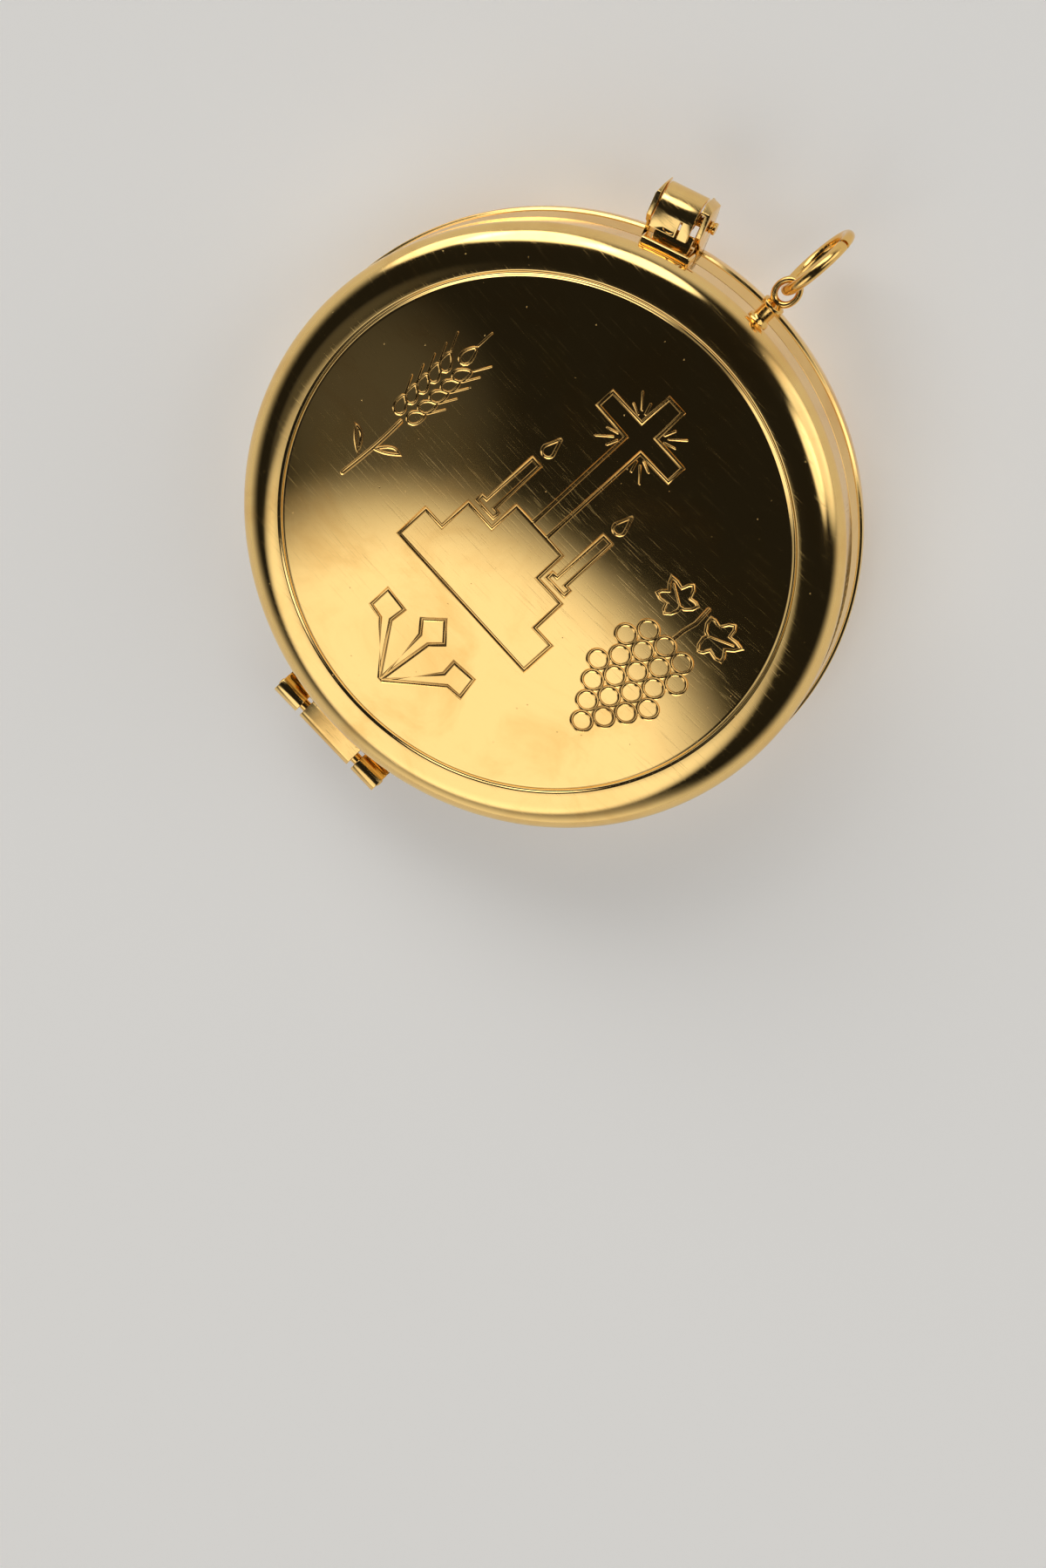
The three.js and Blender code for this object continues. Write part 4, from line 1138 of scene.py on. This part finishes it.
class PYX_OT_ring(Operator):
    """Makes the ring's eyelet and hangs the split carrying ring on it"""

    bl_idname = "pyx.ring"
    bl_label = "Ring and eyelet"

    def execute(self, context):
        collar_end = EYE_NEAR - EYE_WIRE_R * EYE_STRETCH / 2
        profile = []
        for level, part in ((BELT_R, FOOT_PROFILE), (collar_end, COLLAR_PROFILE)):
            profile += [(r * MM, level + z * MM) for r, z in part]
        post = outward_bar("eyelet_gilt", eased(profile, 0.08 * MM), 0.0, EYE_Z, 48)
        cut(post, belt_cutter())
        begin()
        bpy.ops.mesh.primitive_torus_add(major_radius=EYE_MEAN_R, minor_radius=EYE_WIRE_R, major_segments=72,
                                         minor_segments=24, location=(0, 0, 0))
        eye = bpy.context.object
        oval = Matrix.Diagonal((EYE_STRETCH, EYE_SQUEEZE, 1.0, 1.0))
        place(eye, Matrix.Translation((EYE_RHO, 0, EYE_Z)) @ oval)
        eyelet = join("eyelet_gilt", [post, eye])
        finish_piece(eyelet, EYE_TURN, "lid", "ring_eyelet", "gilt_wire", "gilt_rod")

        begin()
        bpy.ops.mesh.primitive_circle_add(vertices=32, radius=RING_WIRE_R, location=(0, 0, 0))
        ring = named(bpy.context.object, "bail_ring_gilt")
        open_angle = RING_SPLIT / RING_MEAN_R
        to_mode("EDIT")
        bpy.ops.mesh.select_all(action="SELECT")
        bpy.ops.transform.translate(value=(RING_MEAN_R, 0, 0))
        bpy.ops.mesh.spin(steps=112, angle=math.tau - open_angle, center=(0, 0, 0), axis=(0, 1, 0))
        bpy.ops.mesh.select_all(action="SELECT")
        bpy.ops.mesh.fill_holes(sides=0)
        close_up()
        bevelled(ring, 0.05 * MM, 2)
        start = Matrix.Rotation(-RING_SPLIT_AT - open_angle / 2, 4, "Y")
        leaned = Matrix.Translation((EYE_BAR_RHO, 0, EYE_Z)) @ Matrix.Rotation(RING_LEAN, 4, "Y")
        twisted = Matrix.Translation((RING_OUT, 0, 0)) @ Matrix.Rotation(RING_TWIST, 4, "X")
        place(ring, leaned @ twisted @ start)
        finish_piece(ring, EYE_TURN, "ring", "bail_ring", "gilt_wire", "gilt_rod")
        return {"FINISHED"}


# Stage

def soft_lobe(tree, direction, toward, inner, outer, strength):
    """Light from one soft round patch of the surroundings."""
    sides = {0: direction, 1: Vector(toward).normalized()}
    facing = tree.node("VectorMath", sides, operation="DOT_PRODUCT")["Value"]
    low, high = (math.cos(math.radians(angle)) for angle in (outer, inner))
    return tree.ramp(facing, low, high, (0.0, strength))


SOFT_LIGHTS = (
    ((0.17, -0.9, 1.0), 15.5, 25.5, 1.2),
    ((0.42, -0.85, 0.3), 14.0, 30.0, 0.25),
    ((-0.28, -0.42, 0.86), 2.0, 14.0, 0.06),
    ((-0.76, 0.42, 0.50), 12.0, 20.0, 2.6),
    ((-0.93, 0.12, 0.30), 9.0, 17.0, 1.6),
    ((-0.44, 0.65, 0.62), 9.0, 16.0, 2.4),
    ((0.43, 0.45, 0.78), 5.0, 13.0, 1.5),
    ((0.5, 0.8, 0.5), 12.0, 26.0, 1.1),
)

HORIZON_TOP = 0.05
OVERHEAD_START = 0.55
STUDIO_TINT = (1.0, 0.985, 0.96, 1.0)
FLOOR_SIZE = 8.0
FLOOR_DROP = 0.03 * MM


def build_world(stage):
    world = bpy.data.worlds.new("studio")
    bpy.context.scene.world = world
    world.use_nodes = True
    world.node_tree.nodes.clear()
    tree = Tree(world.node_tree)
    coord = tree.node("TexCoord")["Generated"]
    unit = tree.first("VectorMath", {0: coord}, operation="NORMALIZE")
    height = tree.node("SeparateXYZ", {"Vector": unit})["Z"]
    total = tree.ramp(height, HORIZON_TOP, OVERHEAD_START, (stage.horizon, stage.zenith))
    for toward, inner, outer, strength in SOFT_LIGHTS:
        total = tree.maths("ADD", total, soft_lobe(tree, unit, toward, inner, outer, strength))
    glow = tree.first("Background", {"Color": STUDIO_TINT, "Strength": total})
    tree.node("OutputWorld", {"Surface": glow})


def build_floor(stage):
    begin()
    bpy.ops.mesh.primitive_plane_add(size=FLOOR_SIZE, location=(0, 0, -FLOOR_DROP))
    floor = bpy.context.object
    floor.name = "floor"
    bpy.ops.object.transform_apply()
    material = new_material("floor_paper")
    tree = Tree(material.node_tree)
    colour = (*stage.floor, 1.0)
    path = tree.node("LightPath")
    seen = tree.maths("MAXIMUM", path["Is Camera Ray"], path["Is Glossy Ray"])
    seen = tree.maths("MAXIMUM", seen, path["Is Transmission Ray"])
    lift = tree.maths("MULTIPLY", seen, stage.floor_glow)
    glow = tree.first("Emission", {"Color": colour, "Strength": lift})
    paper = tree.first("BsdfDiffuse", {"Color": colour})
    both = tree.first("AddShader", {0: paper, 1: glow})
    tree.node("OutputMaterial", {"Surface": both})
    floor.data.materials.append(material)


class PYX_OT_stage(Operator):
    """Sets the floor, the soft light and the camera"""

    bl_idname = "pyx.stage"
    bl_label = "Stage"

    def execute(self, context):
        stage = context.scene.pyx_stage
        build_floor(stage)
        build_world(stage)
        begin()
        bpy.ops.object.camera_add(location=CAMERA_AT)
        camera = bpy.context.object
        back = CAMERA_RIGHT.cross(CAMERA_UP).normalized()
        right = CAMERA_RIGHT.normalized()
        up = back.cross(right)
        turn = Matrix((right, up, back)).transposed()
        camera.matrix_world = Matrix.Translation(CAMERA_AT) @ turn.to_4x4()
        lens = camera.data
        lens.sensor_fit = "VERTICAL"
        lens.sensor_height = 36.0
        lens.lens = CAMERA_LENS
        lens.clip_start = 0.01
        lens.clip_end = 50.0
        context.scene.camera = camera
        context.scene.view_settings.view_transform = "Standard"
        return {"FINISHED"}


SETTINGS = {"pyx_sizes": PyxSizes, "pyx_finish": PyxFinish, "pyx_stage": PyxStage}
STEPS = (PYX_OT_base, PYX_OT_lid, PYX_OT_hinge, PYX_OT_clasp, PYX_OT_spring, PYX_OT_strike, PYX_OT_ring,
         PYX_OT_stage)


class PYX_PT_panel(Panel):
    bl_label = "Pyx"
    bl_idname = "PYX_PT_panel"
    bl_space_type = "VIEW_3D"
    bl_region_type = "UI"
    bl_category = "Pyx"

    def draw(self, context):
        for step in STEPS:
            self.layout.operator(step.bl_idname)
        for name in SETTINGS:
            group = getattr(context.scene, name)
            box = self.layout.box()
            for key in group.bl_rna.properties.keys():
                if key not in ("rna_type", "name"):
                    box.prop(group, key)


CLASSES = (*SETTINGS.values(), *STEPS, PYX_PT_panel)


def register():
    for one in CLASSES:
        bpy.utils.register_class(one)
    for name, kind in SETTINGS.items():
        setattr(bpy.types.Scene, name, PointerProperty(type=kind))


def unregister():
    for name in SETTINGS:
        delattr(bpy.types.Scene, name)
    for one in reversed(CLASSES):
        bpy.utils.unregister_class(one)


def main():
    register()
    for step in STEPS:
        getattr(bpy.ops.pyx, step.bl_idname.split(".")[1])()


if __name__ == "__main__":
    main()
